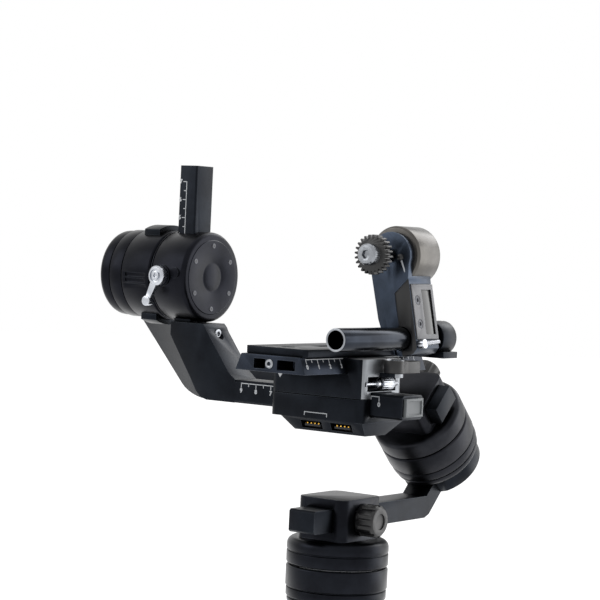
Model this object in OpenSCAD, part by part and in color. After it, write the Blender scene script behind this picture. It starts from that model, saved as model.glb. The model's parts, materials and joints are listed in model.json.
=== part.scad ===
// Three-axis handheld gimbal stabilizer on a folding mini tripod.
// +Z is up, the lens looks along -Y, +X is the camera's left. The origin is the mouth of the
// base thread, under the tripod hub, on the pan axis. Lengths are millimetres.

/* [Handle] */
// Height of the tripod hub
hub_h = 36; // [28:1:44]
// Length of the battery grip
grip_len = 130; // [108:1:156]
// Outside diameter of the battery grip shell
grip_d = 41; // [40:0.5:50]
// Height of the locking collar between grip and control head
collar_h = 12; // [9:1:16]
// Height of the control head
head_len = 68; // [62:1:82]
// Wall of the grip and head shells
shell_wall = 1.8; // [1.2:0.1:2]
// Length of a tripod leg from its pin to its tip
leg_len = 112; // [90:1:136]
// Slope of an opened leg below horizontal
leg_slope = 24; // [18:1:30]

/* [Motors] */
// Outside diameter of the pan motor
pan_d = 54; // [52:1:64]
// Outside diameter of the roll motor
roll_d = 52; // [50:1:62]
// Outside diameter of the tilt motor
tilt_d = 50; // [50:1:60]
// Length of the fixed can of the pan motor
pan_can_len = 22; // [20:1:28]
// Length of the fixed can of the roll motor
roll_can_len = 24; // [20:1:30]
// Length of the fixed can of the tilt motor
tilt_can_len = 38; // [32:1:46]
// Wall of a motor can
can_wall = 2; // [1.6:0.1:2.4]
// Diameter of a motor shaft
shaft_d = 8; // [6:0.5:9]
// Outside diameter of a shaft bearing
bearing_d = 14; // [12:0.5:16]

/* [Arms] */
// Slope of the roll axis below horizontal, towards the rear
roll_slope = 45; // [42:1:48]
// Space from the crossing point of the axes down to the pan arm
under_swing = 116; // [112:1:136]
// Distance from the crossing point to the near face of the roll arm
roll_arm_reach = 84; // [84:1:100]
// Width of the pan arm
pan_bar_w = 16; // [13:1:19]
// Height of the pan arm
pan_bar_h = 12; // [10:1:14]
// Thickness of the roll arm along the roll axis
roll_bar_t = 11.5; // [10:0.5:14]
// Width of the roll arm across the roll axis
roll_bar_w = 18; // [15:1:21]
// Distance from the roll axis to the centre of the vertical bar
bar_offset = 107.2; // [100:0.2:130]
// Width of the vertical bar
bar_w = 12; // [10:0.5:14]
// Depth of the vertical bar
bar_d = 15; // [12.5:0.5:18]
// Height of the top of the vertical bar above the tilt axis
bar_top = 61.5; // [52:0.5:74]
// Depth of the bottom of the rail below the tilt axis
rail_drop = 67; // [60:0.5:72]
// Height of the rail that the carriage rides on
rail_h = 12.5; // [10.5:0.5:15]
// Depth of that rail
rail_d = 19; // [17:0.5:22]
// Length of the rail past the roll axis
rail_end = 42.5; // [36:0.5:51]

/* [Camera carriage] */
// Width of the carriage along the rail
carriage_w = 59; // [56:1:68]
// Offset of the carriage's middle from the roll axis
carriage_x = -6.5; // [-8:0.5:-5]
// Width of the dovetail plate at its foot
dovetail_w = 44.6; // [38:0.2:46]
// Height of the dovetail plate
dovetail_h = 8.7; // [7.5:0.1:10.4]
// Slope of the dovetail's flanks from the vertical
dovetail_angle = 22; // [18:1:26]
// Length of the dovetail plate ahead of the tilt axis
plate_front = 55; // [46:1:62]
// Length of the dovetail plate behind the tilt axis
plate_rear = 58; // [52:1:60]
// Thickness of the riser plate
riser_t = 4; // [3.4:0.1:4.8]
// Diameter of the camera screw's thread
camera_screw_d = 6.35; // [5.3:0.05:7.6]

/* [Focus motor] */
// Diameter of the accessory rod
rod_d = 12; // [10:0.5:14]
// Offset of the rod from the roll axis
rod_x = 30; // [28:0.5:34]
// Lean of the focus motor towards the lens
motor_lean = 11.5; // [9:0.5:14]
// Distance from the rod to the focus motor's shaft
motor_reach = 44; // [40:1:52]
// Diameter of the focus motor's can
focus_can_d = 31; // [26:1:34]
// Module of the focus gear's teeth
gear_module = 0.8; // [0.7:0.05:0.95]
// Number of teeth of the focus gear
gear_teeth = 24; // [20:1:28]

/* [Clearances] */
// Gap between a sliding bar and its clamp
slide_gap = 0.3; // [0.25:0.05:0.4]
// Gap between a motor's fixed and turning parts
motor_gap = 0.6; // [0.5:0.1:0.8]
// Radial gap of a turning shaft in its bore
run_gap = 0.05; // [0.04:0.01:0.06]
// Radial gap of a button or a knob's screw in its hole
button_gap = 0.3; // [0.25:0.05:0.4]
// Radial gap of a part that is pressed or glued on
fit_gap = 0.02; // [0.01:0.01:0.03]

/* [Hidden] */
$fn = 64;

// Handle heights, from the base thread up
z_grip = hub_h;
z_collar = z_grip + grip_len;
z_head = z_collar + collar_h;
z_pan = z_head + head_len;
z_bell = z_pan + pan_can_len + motor_gap;
bell_h = 14;
z_clamp = z_bell + bell_h;
clamp_skin = 5;
z_bar = z_clamp + clamp_skin;
axis_h = z_bar + pan_bar_h + under_swing;
grip_r = grip_d / 2;

// Motor internals
post_r = bearing_d / 2 + 2;
bearing_h = 4;
bore_floor = 2.4;
magnet_t = 1.8;
air_gap = 1.1;
core_h = 9;

// Roll stage, measured along the roll axis
roll_clamp_skin = 2.5;
roll_clamp_a = roll_arm_reach - roll_clamp_skin;
roll_bell_a = roll_arm_reach + roll_bar_t + slide_gap + roll_clamp_skin;
roll_bell_len = 11;
roll_can_a = roll_bell_a + roll_bell_len + motor_gap;
roll_rear_a = roll_can_a + roll_can_len;
pan_plate_t = 9.5;

// Tilt stage, measured from the roll axis
bar_x = -bar_offset;
clamp_x0 = bar_x - bar_w / 2 - 4.4;
tilt_clamp_w = bar_w + 12.4;
can_x1 = clamp_x0 - motor_gap;
can_x0 = can_x1 - tilt_can_len;
arm_leg_w = 24;
arm_leg_x = can_x0 + 2;
arm_ring_w = 11;
arm_ring_t = 3;
bracket_top = -tilt_d / 2 - 0.5;
rail_top = -rail_drop + rail_h;
bracket_leg_w = bar_w * 2 + 1;

// Carriage heights
seam_z = -rail_drop + 9;
carriage_foot = -rail_drop - slide_gap - 2.7;
foot_h = 6.7;
plate_x = carriage_x - 2.7;
plate_z = rail_top + slide_gap + 9.3;
plate_top = plate_z + dovetail_h;
riser_top = plate_top + riser_t;
jaw_top = plate_top - 0.8;
carriage_front = -rail_d / 2 - 8.5;
carriage_depth = 38;
flank = dovetail_h * tan(dovetail_angle);

// Focus motor
rod_z = riser_top + rod_d / 2 + 0.3;
rod_front = -54;
rod_rear = 48;
mount_len = 13;
focus_y0 = 5;
focus_y1 = 27;
focus_can_len = 22;
gear_y0 = -13;
gear_w = 5;
gear_cap_h = 5;

// ---------- outlines ----------

function arc(cx, cy, r, a0, a1, n = 5) =
  [for (i = [0:n]) let (a = a0 + (a1 - a0) * i / n) [cx + r * cos(a), cy + r * sin(a)]];

function round_rect(w, h, r, n = 4) = concat(
  arc(w / 2 - r, h / 2 - r, r, 0, 90, n), arc(-w / 2 + r, h / 2 - r, r, 90, 180, n),
  arc(-w / 2 + r, -h / 2 + r, r, 180, 270, n), arc(w / 2 - r, -h / 2 + r, r, 270, 360, n));

// ---------- shared shapes ----------

module at_axes() translate([0, 0, axis_h]) children();

// Local +Y runs down the roll axis, away from the camera
module on_roll_axis() at_axes() rotate([-roll_slope, 0, 0]) children();

module along_x(x0) translate([x0, 0, 0]) rotate([0, 90, 0]) children();

module along_y(y0) translate([0, y0, 0]) rotate([-90, 0, 0]) children();

module box(x, y, z) translate([x[0], y[0], z[0]]) cube([x[1] - x[0], y[1] - y[0], z[1] - z[0]]);

// A prism along Y from an outline drawn in X and Z
module prism_y(y0, y1, points) translate([0, y1, 0]) rotate([90, 0, 0]) linear_extrude(y1 - y0) polygon(points);

// A prism along X from an outline drawn in Y and Z
module prism_x(x0, x1, points) translate([x0, 0, 0]) rotate([90, 0, 90]) linear_extrude(x1 - x0) polygon(points);

module ring(r_out, r_in, h) difference() {
  cylinder(r = r_out, h = h);
  translate([0, 0, -1]) cylinder(r = r_in, h = h + 2);
}

// Cap head screw: its head stands on z = 0 and its shank goes down
module cap_screw(d, length) difference() {
  union() {
    cylinder(d = d * 1.8, h = d * 0.55);
    translate([0, 0, -length]) cylinder(d = d, h = length + 0.01);
  }
  translate([0, 0, d * 0.15]) cylinder(d = d, h = d, $fn = 6);
}

// Fluted hand knob on z = 0, with its screw going down
module fluted_knob(d, h, screw_d, screw_len, flutes = 10) {
  difference() {
    union() {
      cylinder(d = d, h = h);
      translate([0, 0, h]) cylinder(d1 = d, d2 = d - 3, h = 1.4);
      translate([0, 0, -screw_len]) cylinder(d = screw_d, h = screw_len + 0.01);
    }
    for (i = [0:flutes - 1]) rotate(i * 360 / flutes)
      translate([d / 2 + 0.7, 0, 1.2]) cylinder(r = 1.6, h = h + 1, $fn = 24);
    translate([0, 0, h + 0.6]) cylinder(d = d * 0.5, h = 2);
  }
}

// ---------- motors ----------

// Fixed can: closed end on z = 0, open end on z = length, with the bearing post inside
module motor_can(d, length) {
  r = d / 2;
  s1 = length * 0.225;
  s2 = length * 0.47;
  rotate_extrude($fn = 96) polygon(concat(
    [[0, 0], [r - 5, 0]],
    arc(r - 4.6, 3.6, 3.6, -90, 0, 6),
    [[r - 1, s1 - 0.6], [r - 1.8, s1 - 0.5], [r - 1.8, s1 + 0.5], [r - 0.4, s1 + 0.6],
     [r - 0.4, s2 - 0.5], [r - 1.3, s2 - 0.4], [r - 1.3, s2 + 0.4], [r, s2 + 0.5],
     [r, length - 0.8], [r - 0.8, length], [r - can_wall, length],
     [r - can_wall, bore_floor], [post_r, bore_floor], [post_r, length - 3],
     [bearing_d / 2, length - 3], [bearing_d / 2, bore_floor], [0, bore_floor]]));
}

// Laminated core, its windings and the two shaft bearings
module motor_stator(d, length) {
  core_r = d / 2 - can_wall - 1 - magnet_t - air_gap;
  core_z = bore_floor + 3.2;
  difference() {
    translate([0, 0, core_z]) ring(core_r, post_r, core_h);
    for (i = [0:11]) rotate(i * 30)
      translate([core_r - 3.6, -1, core_z - 1]) cube([5, 2, core_h + 2]);
  }
  for (z = [core_z - 2.6, core_z + core_h]) translate([0, 0, z]) ring(core_r - 1, post_r + 0.6, 2.6);
  for (z = [bore_floor, length - 3 - bearing_h])
    translate([0, 0, z]) ring(bearing_d / 2, shaft_d / 2 + run_gap, bearing_h);
}

// Shaft and magnet ring, which end on the bell's face at z = length + motor_gap
module motor_rotor(d, length) {
  magnet_r = d / 2 - can_wall - 1;
  top = length + motor_gap;
  translate([0, 0, bore_floor + 1]) cylinder(d = shaft_d, h = top - bore_floor - 1);
  translate([0, 0, bore_floor + 1.6]) ring(magnet_r, magnet_r - magnet_t, top - bore_floor - 1.6);
}

// ---------- tripod ----------

leg_pin_r = 15;
leg_pin_z = hub_h - 16;
leg_t = 9;
leg_angles = [150, 270, 30];
hub_r = grip_r + 1;
post_hub_r = 9;

module around_leg(i) rotate([0, 0, leg_angles[i]]) children();

module tripod_hub() color([0.09, 0.09, 0.10]) difference() {
  union() {
    cylinder(r = post_hub_r, h = hub_h - 8);
    translate([0, 0, hub_h - 8]) rotate_extrude() polygon(concat(
      [[0, 0], [hub_r - 1.5, 0], [hub_r, 1.5]], arc(hub_r - 1.5, 6.5, 1.5, 0, 90, 3), [[0, 8]]));
    for (i = [0:2], s = [-1, 1]) around_leg(i) translate([0, s * (leg_t / 2 + slide_gap + 1.6), 0])
      prism_y(-1.6, 1.6, concat(arc(leg_pin_r, leg_pin_z, 5, 200, 360, 8),
        [[leg_pin_r + 5, hub_h - 7.5], [4, hub_h - 7.5], [4, leg_pin_z + 3]]));
  }
  for (i = [0:2]) around_leg(i) translate([leg_pin_r, 0, leg_pin_z]) rotate([90, 0, 0])
    cylinder(d = 4, h = 40, center = true);
  translate([0, 0, -0.01]) cylinder(d = 6.35, h = 12.01);
  translate([0, 0, hub_h - 10]) cylinder(d = 9.5, h = 11);
}

module tripod_stud() color([0.62, 0.62, 0.64]) translate([0, 0, hub_h - 10]) difference() {
  cylinder(d = 9.5, h = 17);
  translate([0, 0, 13]) cylinder(d = 5, h = 5, $fn = 6);
}

module leg_pins() color([0.62, 0.62, 0.64]) for (i = [0:2]) around_leg(i)
  translate([leg_pin_r, 0, leg_pin_z]) rotate([90, 0, 0])
    cylinder(d = 4, h = leg_t + 2 * slide_gap + 6.4, center = true);

// A leg with its foot, drawn along +X and then sloped down
module tripod_leg(i) around_leg(i) translate([leg_pin_r, 0, leg_pin_z]) rotate([0, leg_slope, 0]) {
  foot_x = leg_len - 16;
  color([0.10, 0.10, 0.11]) difference() {
    union() {
      rotate([90, 0, 0]) cylinder(r = 4.6, h = leg_t, center = true);
      prism_y(-leg_t / 2, leg_t / 2, [[0, 4.6], [10, 4.6], [foot_x - 6, 5.4], [foot_x, 3.6],
        [foot_x, -4.4], [foot_x - 8, -5.6], [22, -5.6], [8, -4.6], [0, -4.6]]);
    }
    rotate([90, 0, 0]) cylinder(d = 4 + 2 * run_gap, h = leg_t + 2, center = true);
    box([26, foot_x - 14], [-leg_t / 2 + 1.8, leg_t / 2 - 1.8], [-8, 3.2]);
  }
  color([0.05, 0.05, 0.05]) translate([foot_x, 0, 0]) rotate([0, 90, 0]) difference() {
    cylinder(r = 6, h = 16);
    translate([0, 0, 11]) ring(8, 4.6, 6);
  }
}

// ---------- grip ----------

module grip_shell() color([0.10, 0.10, 0.11]) difference() {
  translate([0, 0, z_grip]) rotate_extrude() polygon(concat(
    [[5, 0], [grip_r - 2, 0]], arc(grip_r - 1.5, 1.5, 1.5, -60, 0, 3),
    [[grip_r, grip_len], [5, grip_len], [5, grip_len - shell_wall],
     [grip_r - shell_wall, grip_len - shell_wall], [grip_r - shell_wall, 8], [5, 8]]));
  translate([0, 0, z_grip - 0.01]) cylinder(d = 9.5, h = 7.01);
  translate([-4, 0, z_collar - 36]) cube([8, grip_r + 1, 24]);
  translate([0, 0, z_collar - 42]) rotate([-90, 0, 0]) cylinder(r = 3 + button_gap, h = grip_r + 1);
}

// Ribbed sleeve, open above the level window
module grip_rubber() {
  sleeve_z0 = 8;
  sleeve_z1 = grip_len - 50;
  rib = 4;
  count = floor((sleeve_z1 - sleeve_z0) / rib);
  color([0.05, 0.05, 0.05]) translate([0, 0, z_grip]) rotate_extrude() polygon(concat(
    [[grip_r + fit_gap, sleeve_z0]],
    [for (i = [0:count - 1]) let (z = sleeve_z0 + i * rib) each
      [[grip_r + 1.5, z], [grip_r + 2.2, z + 0.8], [grip_r + 2.2, z + 2.6], [grip_r + 1.5, z + 3.4]]],
    [[grip_r + fit_gap, sleeve_z0 + count * rib - 0.6]]));
}

// Two stacks of two round cells
module battery_cells() color([0.20, 0.34, 0.62]) {
  cell_r = min(9, (grip_r - shell_wall) / 2 - 0.2);
  cell_h = (grip_len - 8 - shell_wall - 3) / 2;
  for (x = [-1, 1], k = [0, 1])
    translate([x * (cell_r + 0.1), 0, z_grip + 8 + 0.4 + k * (cell_h + 0.6)]) {
      cylinder(r = cell_r, h = cell_h - 1.4);
      translate([0, 0, cell_h - 1.4]) cylinder(r = cell_r * 0.4, h = 1.2);
    }
}

// Lens of the charge lights, let into the shell
module level_window() color([0.16, 0.16, 0.17]) difference() {
  intersection() {
    translate([0, 0, z_collar - 36]) cylinder(r = grip_r + 0.4, h = 24);
    translate([-4, grip_r - shell_wall - 0.2, z_collar - 36]) cube([8, 6, 24]);
  }
  for (i = [0:3]) translate([0, grip_r - 0.2, z_collar - 32 + i * 5]) rotate([-90, 0, 0]) cylinder(d = 2, h = 3, $fn = 24);
}

module battery_button() color([0.14, 0.14, 0.15]) translate([0, grip_r - shell_wall + 0.2, z_collar - 42])
  rotate([-90, 0, 0]) {
    cylinder(r = 3, h = shell_wall + 0.9);
    translate([0, 0, shell_wall + 0.9]) cylinder(r1 = 3, r2 = 2.4, h = 0.5);
  }

// Knurled ring that locks the grip under the control head
module grip_collar() color([0.12, 0.12, 0.13]) translate([0, 0, z_collar + 0.3]) difference() {
  union() {
    ring(grip_r + 2.2, grip_r - 4, collar_h - 0.6);
    translate([0, -grip_r - 2, collar_h / 2 - 0.3]) rotate([0, 0, 45]) cube([6, 6, collar_h - 4], center = true);
  }
  for (i = [0:35]) rotate(i * 10 + 5) translate([grip_r + 2.9, 0, 1.5]) cylinder(r = 1.1, h = collar_h - 3.6, $fn = 16);
  translate([0, 0, -1]) cylinder(r = grip_r - 4, h = collar_h + 2);
}

// ---------- control head ----------

head_r0 = grip_r + 2;
head_r1 = pan_d / 2;
panel_z = z_head + 12;
panel_h = 46;
panel_w = 27;
panel_y = head_r1 + 2.5;
stick_z = panel_z + 32;
stick_y = panel_y - 6.4;
mode_z = panel_z + 12;
wheel_z = z_head + head_len * 0.6;
wheel_r = 14;
trigger_z = z_head + head_len - 14;
power_z = z_head + head_len * 0.6;
usb_z = z_head + 16;
core_neck_r = grip_r - 4.5;

function head_radius(z) = head_r0 + (head_r1 - head_r0) * pow(z / head_len, 1.6);

module head_solid(inset) rotate_extrude() polygon(concat(
  [[0, inset]], [for (i = [0:8]) let (z = i * head_len / 8)
    [head_radius(z) - inset, min(max(z, inset), head_len - inset)]], [[0, head_len - inset]]));

module panel_block(grow = 0) translate([0, 0, panel_z + panel_h / 2]) rotate([-90, 0, 0])
  linear_extrude(panel_y) polygon(round_rect(panel_w + 2 * grow, panel_h + 2 * grow, 5));

// Revolved shell with every opening cut, before it is split
module head_shell() difference() {
  union() {
    translate([0, 0, z_head]) head_solid(0);
    translate([0, 0, z_collar]) cylinder(r = core_neck_r, h = collar_h + 0.01);
    along_x(head_r0 - 2) translate([-wheel_z, 0, 0]) cylinder(r = 9, h = head_r1 - head_r0 + 3);
  }
  translate([0, 0, z_head]) head_solid(shell_wall + 0.6);
  translate([0, 0, z_collar]) cylinder(r = core_neck_r - 3, h = collar_h + 6);
  intersection() { panel_block(); translate([-30, 8, z_head]) cube([60, 40, head_len]); }
  along_x(0) translate([-wheel_z, 0, 0]) cylinder(r = 2.5 + run_gap, h = 60);
  along_x(-40) translate([-power_z, 0, 0]) cylinder(r = 4.5 + button_gap, h = 36);
  translate([-40, -6.5, usb_z - 3.8]) cube([22, 13, 7.6]);
  translate([-4.5 - slide_gap, -40, trigger_z - 24]) cube([9 + 2 * slide_gap, 26, 26]);
  translate([0, -head_r0 + 1, trigger_z]) rotate([0, 90, 0]) cylinder(d = 3, h = 16, center = true);
}

module head_left_shell() color([0.10, 0.10, 0.11]) intersection() {
  head_shell();
  translate([0, -60, z_collar]) cube([80, 120, 200]);
}

module head_right_shell() color([0.10, 0.10, 0.11]) intersection() {
  head_shell();
  translate([-80, -60, z_collar]) cube([80, 120, 200]);
}

// Circuit board, held at its edges by the two shells
module head_board() color([0.05, 0.30, 0.16]) {
  half = sqrt(pow(head_r0 - shell_wall - 0.6, 2) - 9) - slide_gap;
  box([-half, half], [-3, -1.4], [z_head + 6, z_pan - 8]);
  box([-6, 6], [-1.41, 0.2], [z_head + 24, z_head + 36]);
  box([-4, 4], [-5.4, -2.99], [z_head + 40, z_head + 48]);
  box([-head_radius(usb_z - z_head) + 2.6, -half + 6], [-5, 1], [usb_z - 1.8, usb_z + 1.8]);
}

module control_panel() color([0.13, 0.13, 0.14]) difference() {
  union() {
    difference() {
      intersection() { panel_block(-0.15); translate([-30, 8.2, z_head]) cube([60, 40, head_len]); }
      translate([-panel_w / 2 + 2, 7, panel_z + 2]) cube([panel_w - 4, panel_y - 9.5, panel_h - 4]);
    }
    for (s = [-1, 1]) translate([-2.5, stick_y - 2.6, stick_z + s * 9.4 - 1]) cube([5, panel_y - stick_y + 0.2, 2]);
  }
  translate([0, stick_y, stick_z]) cylinder(r = 0.9 + run_gap, h = 30, center = true);
  translate([0, 0, stick_z]) rotate([-90, 0, 0]) cylinder(r = 8, h = 60);
  translate([0, 0, mode_z]) rotate([-90, 0, 0]) cylinder(r = 4 + button_gap, h = 60);
  for (x = [-7, 7]) translate([x, panel_y - 0.8, mode_z + 9]) rotate([-90, 0, 0]) cylinder(r = 1.1, h = 3, $fn = 24);
}

// Ring that lets the stick rock about X and Z, with its trunnions
module joystick_cradle() color([0.55, 0.55, 0.57]) translate([0, stick_y, stick_z]) difference() {
  union() {
    rotate([-90, 0, 0]) translate([0, 0, -1.5]) cylinder(r = 5.4, h = 3);
    cylinder(r = 0.9, h = 20, center = true);
  }
  rotate([-90, 0, 0]) translate([0, 0, -3]) cylinder(r = 3.6, h = 6);
}

module joystick_cap() color([0.06, 0.06, 0.06]) translate([0, stick_y, stick_z]) rotate([-90, 0, 0]) {
  rotate_extrude() polygon([[0, -1], [2.2, -1], [2.2, 4.6], [5.6, 6.8], [6, 7.6], [5.6, 8.4], [3, 8], [0, 7.8]]);
  rotate([0, 90, 0]) cylinder(r = 0.9, h = 6.6, center = true);
}

module mode_button() color([0.16, 0.16, 0.17]) translate([0, panel_y - 3.4, mode_z]) rotate([-90, 0, 0]) {
  cylinder(r = 4, h = 4.6);
  translate([0, 0, 4.6]) cylinder(r1 = 4, r2 = 3.4, h = 0.4);
}

module power_button() color([0.16, 0.16, 0.17]) {
  r = head_radius(power_z - z_head);
  along_x(-r - 1) translate([-power_z, 0, 0]) cylinder(r = 4.5, h = 4.2);
}

// Finger trigger that swings in about its pin
module trigger() color([0.08, 0.08, 0.09]) translate([0, -head_r0 + 1, trigger_z]) difference() {
  union() {
    rotate([0, 90, 0]) cylinder(r = 2.4, h = 9, center = true);
    rotate([0, 90, 0]) cylinder(d = 2.9, h = 15, center = true);
    prism_x(-4.5, 4.5, [[-1.5, 1.5], [-5.4, -1], [-6.4, -8], [-8.4, -15], [-11.6, -20],
      [-10, -22], [-3.5, -18.6], [1.8, -12], [2.2, -1]]);
  }
  translate([-2.7, -2.2, -17]) cube([5.4, 8, 13]);
}

// Focus wheel on its stub axle, ribbed round the rim
module focus_wheel() color([0.08, 0.08, 0.09]) translate([head_r1 + 1.4, 0, wheel_z]) rotate([0, 90, 0]) difference() {
  union() {
    cylinder(r = wheel_r, h = 8);
    translate([0, 0, 8]) cylinder(r1 = wheel_r, r2 = wheel_r - 1.5, h = 1.2);
    translate([0, 0, -6.5]) cylinder(r = 2.5, h = 6.51);
  }
  for (i = [0:29]) rotate(i * 12) translate([wheel_r + 0.7, 0, 0.8]) cylinder(r = 1.2, h = 7, $fn = 16);
  translate([0, 0, 7.4]) cylinder(r = wheel_r - 4, h = 3);
}

// Flap over the charging socket, hinged along its lower edge
module usb_cover() color([0.05, 0.05, 0.05]) {
  r = head_radius(usb_z - z_head);
  difference() {
    union() {
      box([-r - 0.9, -r + 0.6], [-6.1, 6.1], [usb_z - 3.2, usb_z + 3.4]);
      box([-r + 0.6, -r + 2.2], [-4.2, 4.2], [usb_z - 1.4, usb_z + 1.4]);
      translate([-r - 0.9, 6.1, usb_z - 3.2]) rotate([90, 0, 0]) cylinder(r = 0.45, h = 12.2);
    }
    box([-r - 2, -r - 0.4], [-4, 4], [usb_z + 1.2, usb_z + 1.9]);
  }
}

// ---------- pan stage ----------

module pan_motor_can() color([0.10, 0.10, 0.11]) translate([0, 0, z_pan]) motor_can(pan_d, pan_can_len);

module pan_stator() color([0.72, 0.45, 0.20]) translate([0, 0, z_pan]) motor_stator(pan_d, pan_can_len);

module pan_rotor() color([0.6, 0.6, 0.62]) translate([0, 0, z_pan]) motor_rotor(pan_d, pan_can_len);

pan_clamp_w = pan_bar_w + 2 * slide_gap + 14;
pan_clamp_d = 36;
pan_clamp_h = clamp_skin * 2 + pan_bar_h;
pan_screw_d = 5;

module pan_motor_bell() color([0.10, 0.10, 0.11]) difference() {
  union() {
    translate([0, 0, z_bell]) rotate_extrude($fn = 96) polygon(concat(
      [[0, 0], [pan_d / 2 - 0.8, 0], [pan_d / 2, 0.8], [pan_d / 2, 6.5], [pan_d / 2 - 0.9, 6.6], [pan_d / 2 - 0.9, 7.4],
       [pan_d / 2, 7.5]], arc(pan_d / 2 - 4, bell_h - 4, 4, 0, 90, 6), [[0, bell_h]]));
    translate([0, 0, z_clamp - 0.01]) linear_extrude(pan_clamp_h) polygon(round_rect(pan_clamp_w, pan_clamp_d, 5));
  }
  box([-pan_bar_w / 2 - slide_gap, pan_bar_w / 2 + slide_gap], [-40, 40], [z_bar - slide_gap, z_bar + pan_bar_h + slide_gap]);
  along_x(0) translate([-z_bar - pan_bar_h / 2, 0, 0]) cylinder(r = pan_screw_d / 2 + button_gap, h = 40);
}

module pan_lock_knob() color([0.08, 0.08, 0.09]) translate([pan_clamp_w / 2 + 0.5, 0, z_bar + pan_bar_h / 2])
  rotate([0, 90, 0]) fluted_knob(17, 9, pan_screw_d, pan_clamp_w / 2 - pan_bar_w / 2);

// Bar that runs back from the pan motor and turns up behind the roll motor
module pan_arm() color([0.10, 0.10, 0.11]) {
  c = cos(roll_slope);
  s = sin(roll_slope);
  low = z_bar - axis_h;
  high = low + pan_bar_h;
  a0 = roll_rear_a + 0.01;
  a1 = a0 + pan_plate_t;
  tip_b = roll_d / 2 - 4;
  y_out = (a1 + low * s) / c;
  y_in = (a0 + high * s) / c;
  union() {
    at_axes() prism_x(-pan_bar_w / 2, pan_bar_w / 2, [
      [-34, low + 1], [-33, low], [y_out - 3, low], [y_out + 1.5, low + 1.8],
      [a1 * c + tip_b * s, -a1 * s + tip_b * c], [a0 * c + tip_b * s, -a0 * s + tip_b * c],
      [y_in, high], [-33, high], [-34, high - 1]]);
    on_roll_axis() along_y(a0) difference() {
      union() {
        cylinder(r = roll_d / 2 - 3, h = pan_plate_t - 2);
        translate([0, 0, pan_plate_t - 2]) cylinder(r1 = roll_d / 2 - 3, r2 = roll_d / 2 - 6, h = 2);
      }
      translate([-40, roll_d / 2 - 7, -1]) cube([80, 40, 20]);
    }
  }
}

// ---------- roll stage ----------

module roll_motor_can() color([0.10, 0.10, 0.11]) on_roll_axis() translate([0, roll_rear_a, 0])
  rotate([90, 0, 0]) motor_can(roll_d, roll_can_len);

module roll_stator() color([0.72, 0.45, 0.20]) on_roll_axis() translate([0, roll_rear_a, 0])
  rotate([90, 0, 0]) motor_stator(roll_d, roll_can_len);

module roll_rotor() color([0.6, 0.6, 0.62]) on_roll_axis() translate([0, roll_rear_a, 0])
  rotate([90, 0, 0]) motor_rotor(roll_d, roll_can_len);

roll_clamp_w = 34;
roll_clamp_b = roll_bar_w + 2 * slide_gap + 12;
roll_screw_d = 5;
roll_knob_a = roll_arm_reach + roll_bar_t / 2;
roll_bar_end = 24;

module roll_motor_bell() color([0.10, 0.10, 0.11]) on_roll_axis() difference() {
  union() {
    along_y(roll_bell_a) rotate_extrude($fn = 96) polygon(concat(
      [[0, 0]], arc(roll_d / 2 - 3, 3, 3, -90, 0, 5),
      [[roll_d / 2, roll_bell_len - 0.8], [roll_d / 2 - 0.8, roll_bell_len], [0, roll_bell_len]]));
    along_y(roll_clamp_a) linear_extrude(roll_bell_a - roll_clamp_a + 0.5)
      polygon(round_rect(roll_clamp_w, roll_clamp_b, 4));
  }
  box([-40, 40], [roll_arm_reach - slide_gap, roll_arm_reach + roll_bar_t + slide_gap],
    [-roll_bar_w / 2 - slide_gap, roll_bar_w / 2 + slide_gap]);
  translate([0, roll_knob_a, 0]) cylinder(r = roll_screw_d / 2 + button_gap, h = 40);
}

module roll_lock_knob() color([0.08, 0.08, 0.09]) on_roll_axis() translate([0, roll_knob_a, roll_clamp_b / 2 + 0.5])
  fluted_knob(15, 9, roll_screw_d, roll_clamp_b / 2 - roll_bar_w / 2);

// Bar across the roll axis, with a leg forward to the ring round the tilt motor
module roll_arm() color([0.10, 0.10, 0.11]) {
  x0 = arm_leg_x;
  x1 = x0 + arm_leg_w;
  ring_x = x1 - 3;
  a1 = roll_arm_reach + roll_bar_t;
  half = roll_bar_w / 2;
  difference() {
    union() {
      on_roll_axis() translate([0, 0, -half]) linear_extrude(roll_bar_w) polygon(concat(
        [[roll_bar_end, roll_arm_reach], [roll_bar_end, a1 - 1.5], [roll_bar_end - 1.5, a1]],
        arc(x0 + 12, a1 - 12, 12, 90, 180, 6),
        [[x0, 12], [x1, 12], [x1, roll_arm_reach - 10], [x1 + 9, roll_arm_reach]]));
      at_axes() along_x(ring_x) cylinder(r = tilt_d / 2 + arm_ring_t, h = arm_ring_w, $fn = 96);
    }
    at_axes() along_x(x0 - 1) cylinder(r = tilt_d / 2 + fit_gap, h = arm_leg_w + arm_ring_w, $fn = 96);
    at_axes() box([ring_x - 1, ring_x + arm_ring_w + 1], [-60, -12], [-60, 60]);
  }
}

// ---------- tilt stage ----------

module tilt_motor_can() color([0.10, 0.10, 0.11]) at_axes() difference() {
  along_x(can_x0) motor_can(tilt_d, tilt_can_len);
  for (k = [0:2]) box([can_x1 - 17, can_x1 - 3], [-40, -tilt_d / 2 + 1.1], [-1.4 - 3.1 * k, 0.8 - 3.1 * k]);
}

module tilt_stator() color([0.72, 0.45, 0.20]) at_axes() along_x(can_x0) motor_stator(tilt_d, tilt_can_len);

module tilt_rotor() color([0.6, 0.6, 0.62]) at_axes() along_x(can_x0) motor_rotor(tilt_d, tilt_can_len);

lever_x = bar_x - 1;
lever_screw_d = 4;
pinch_y = -tilt_d / 2 - 1.4;

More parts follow.
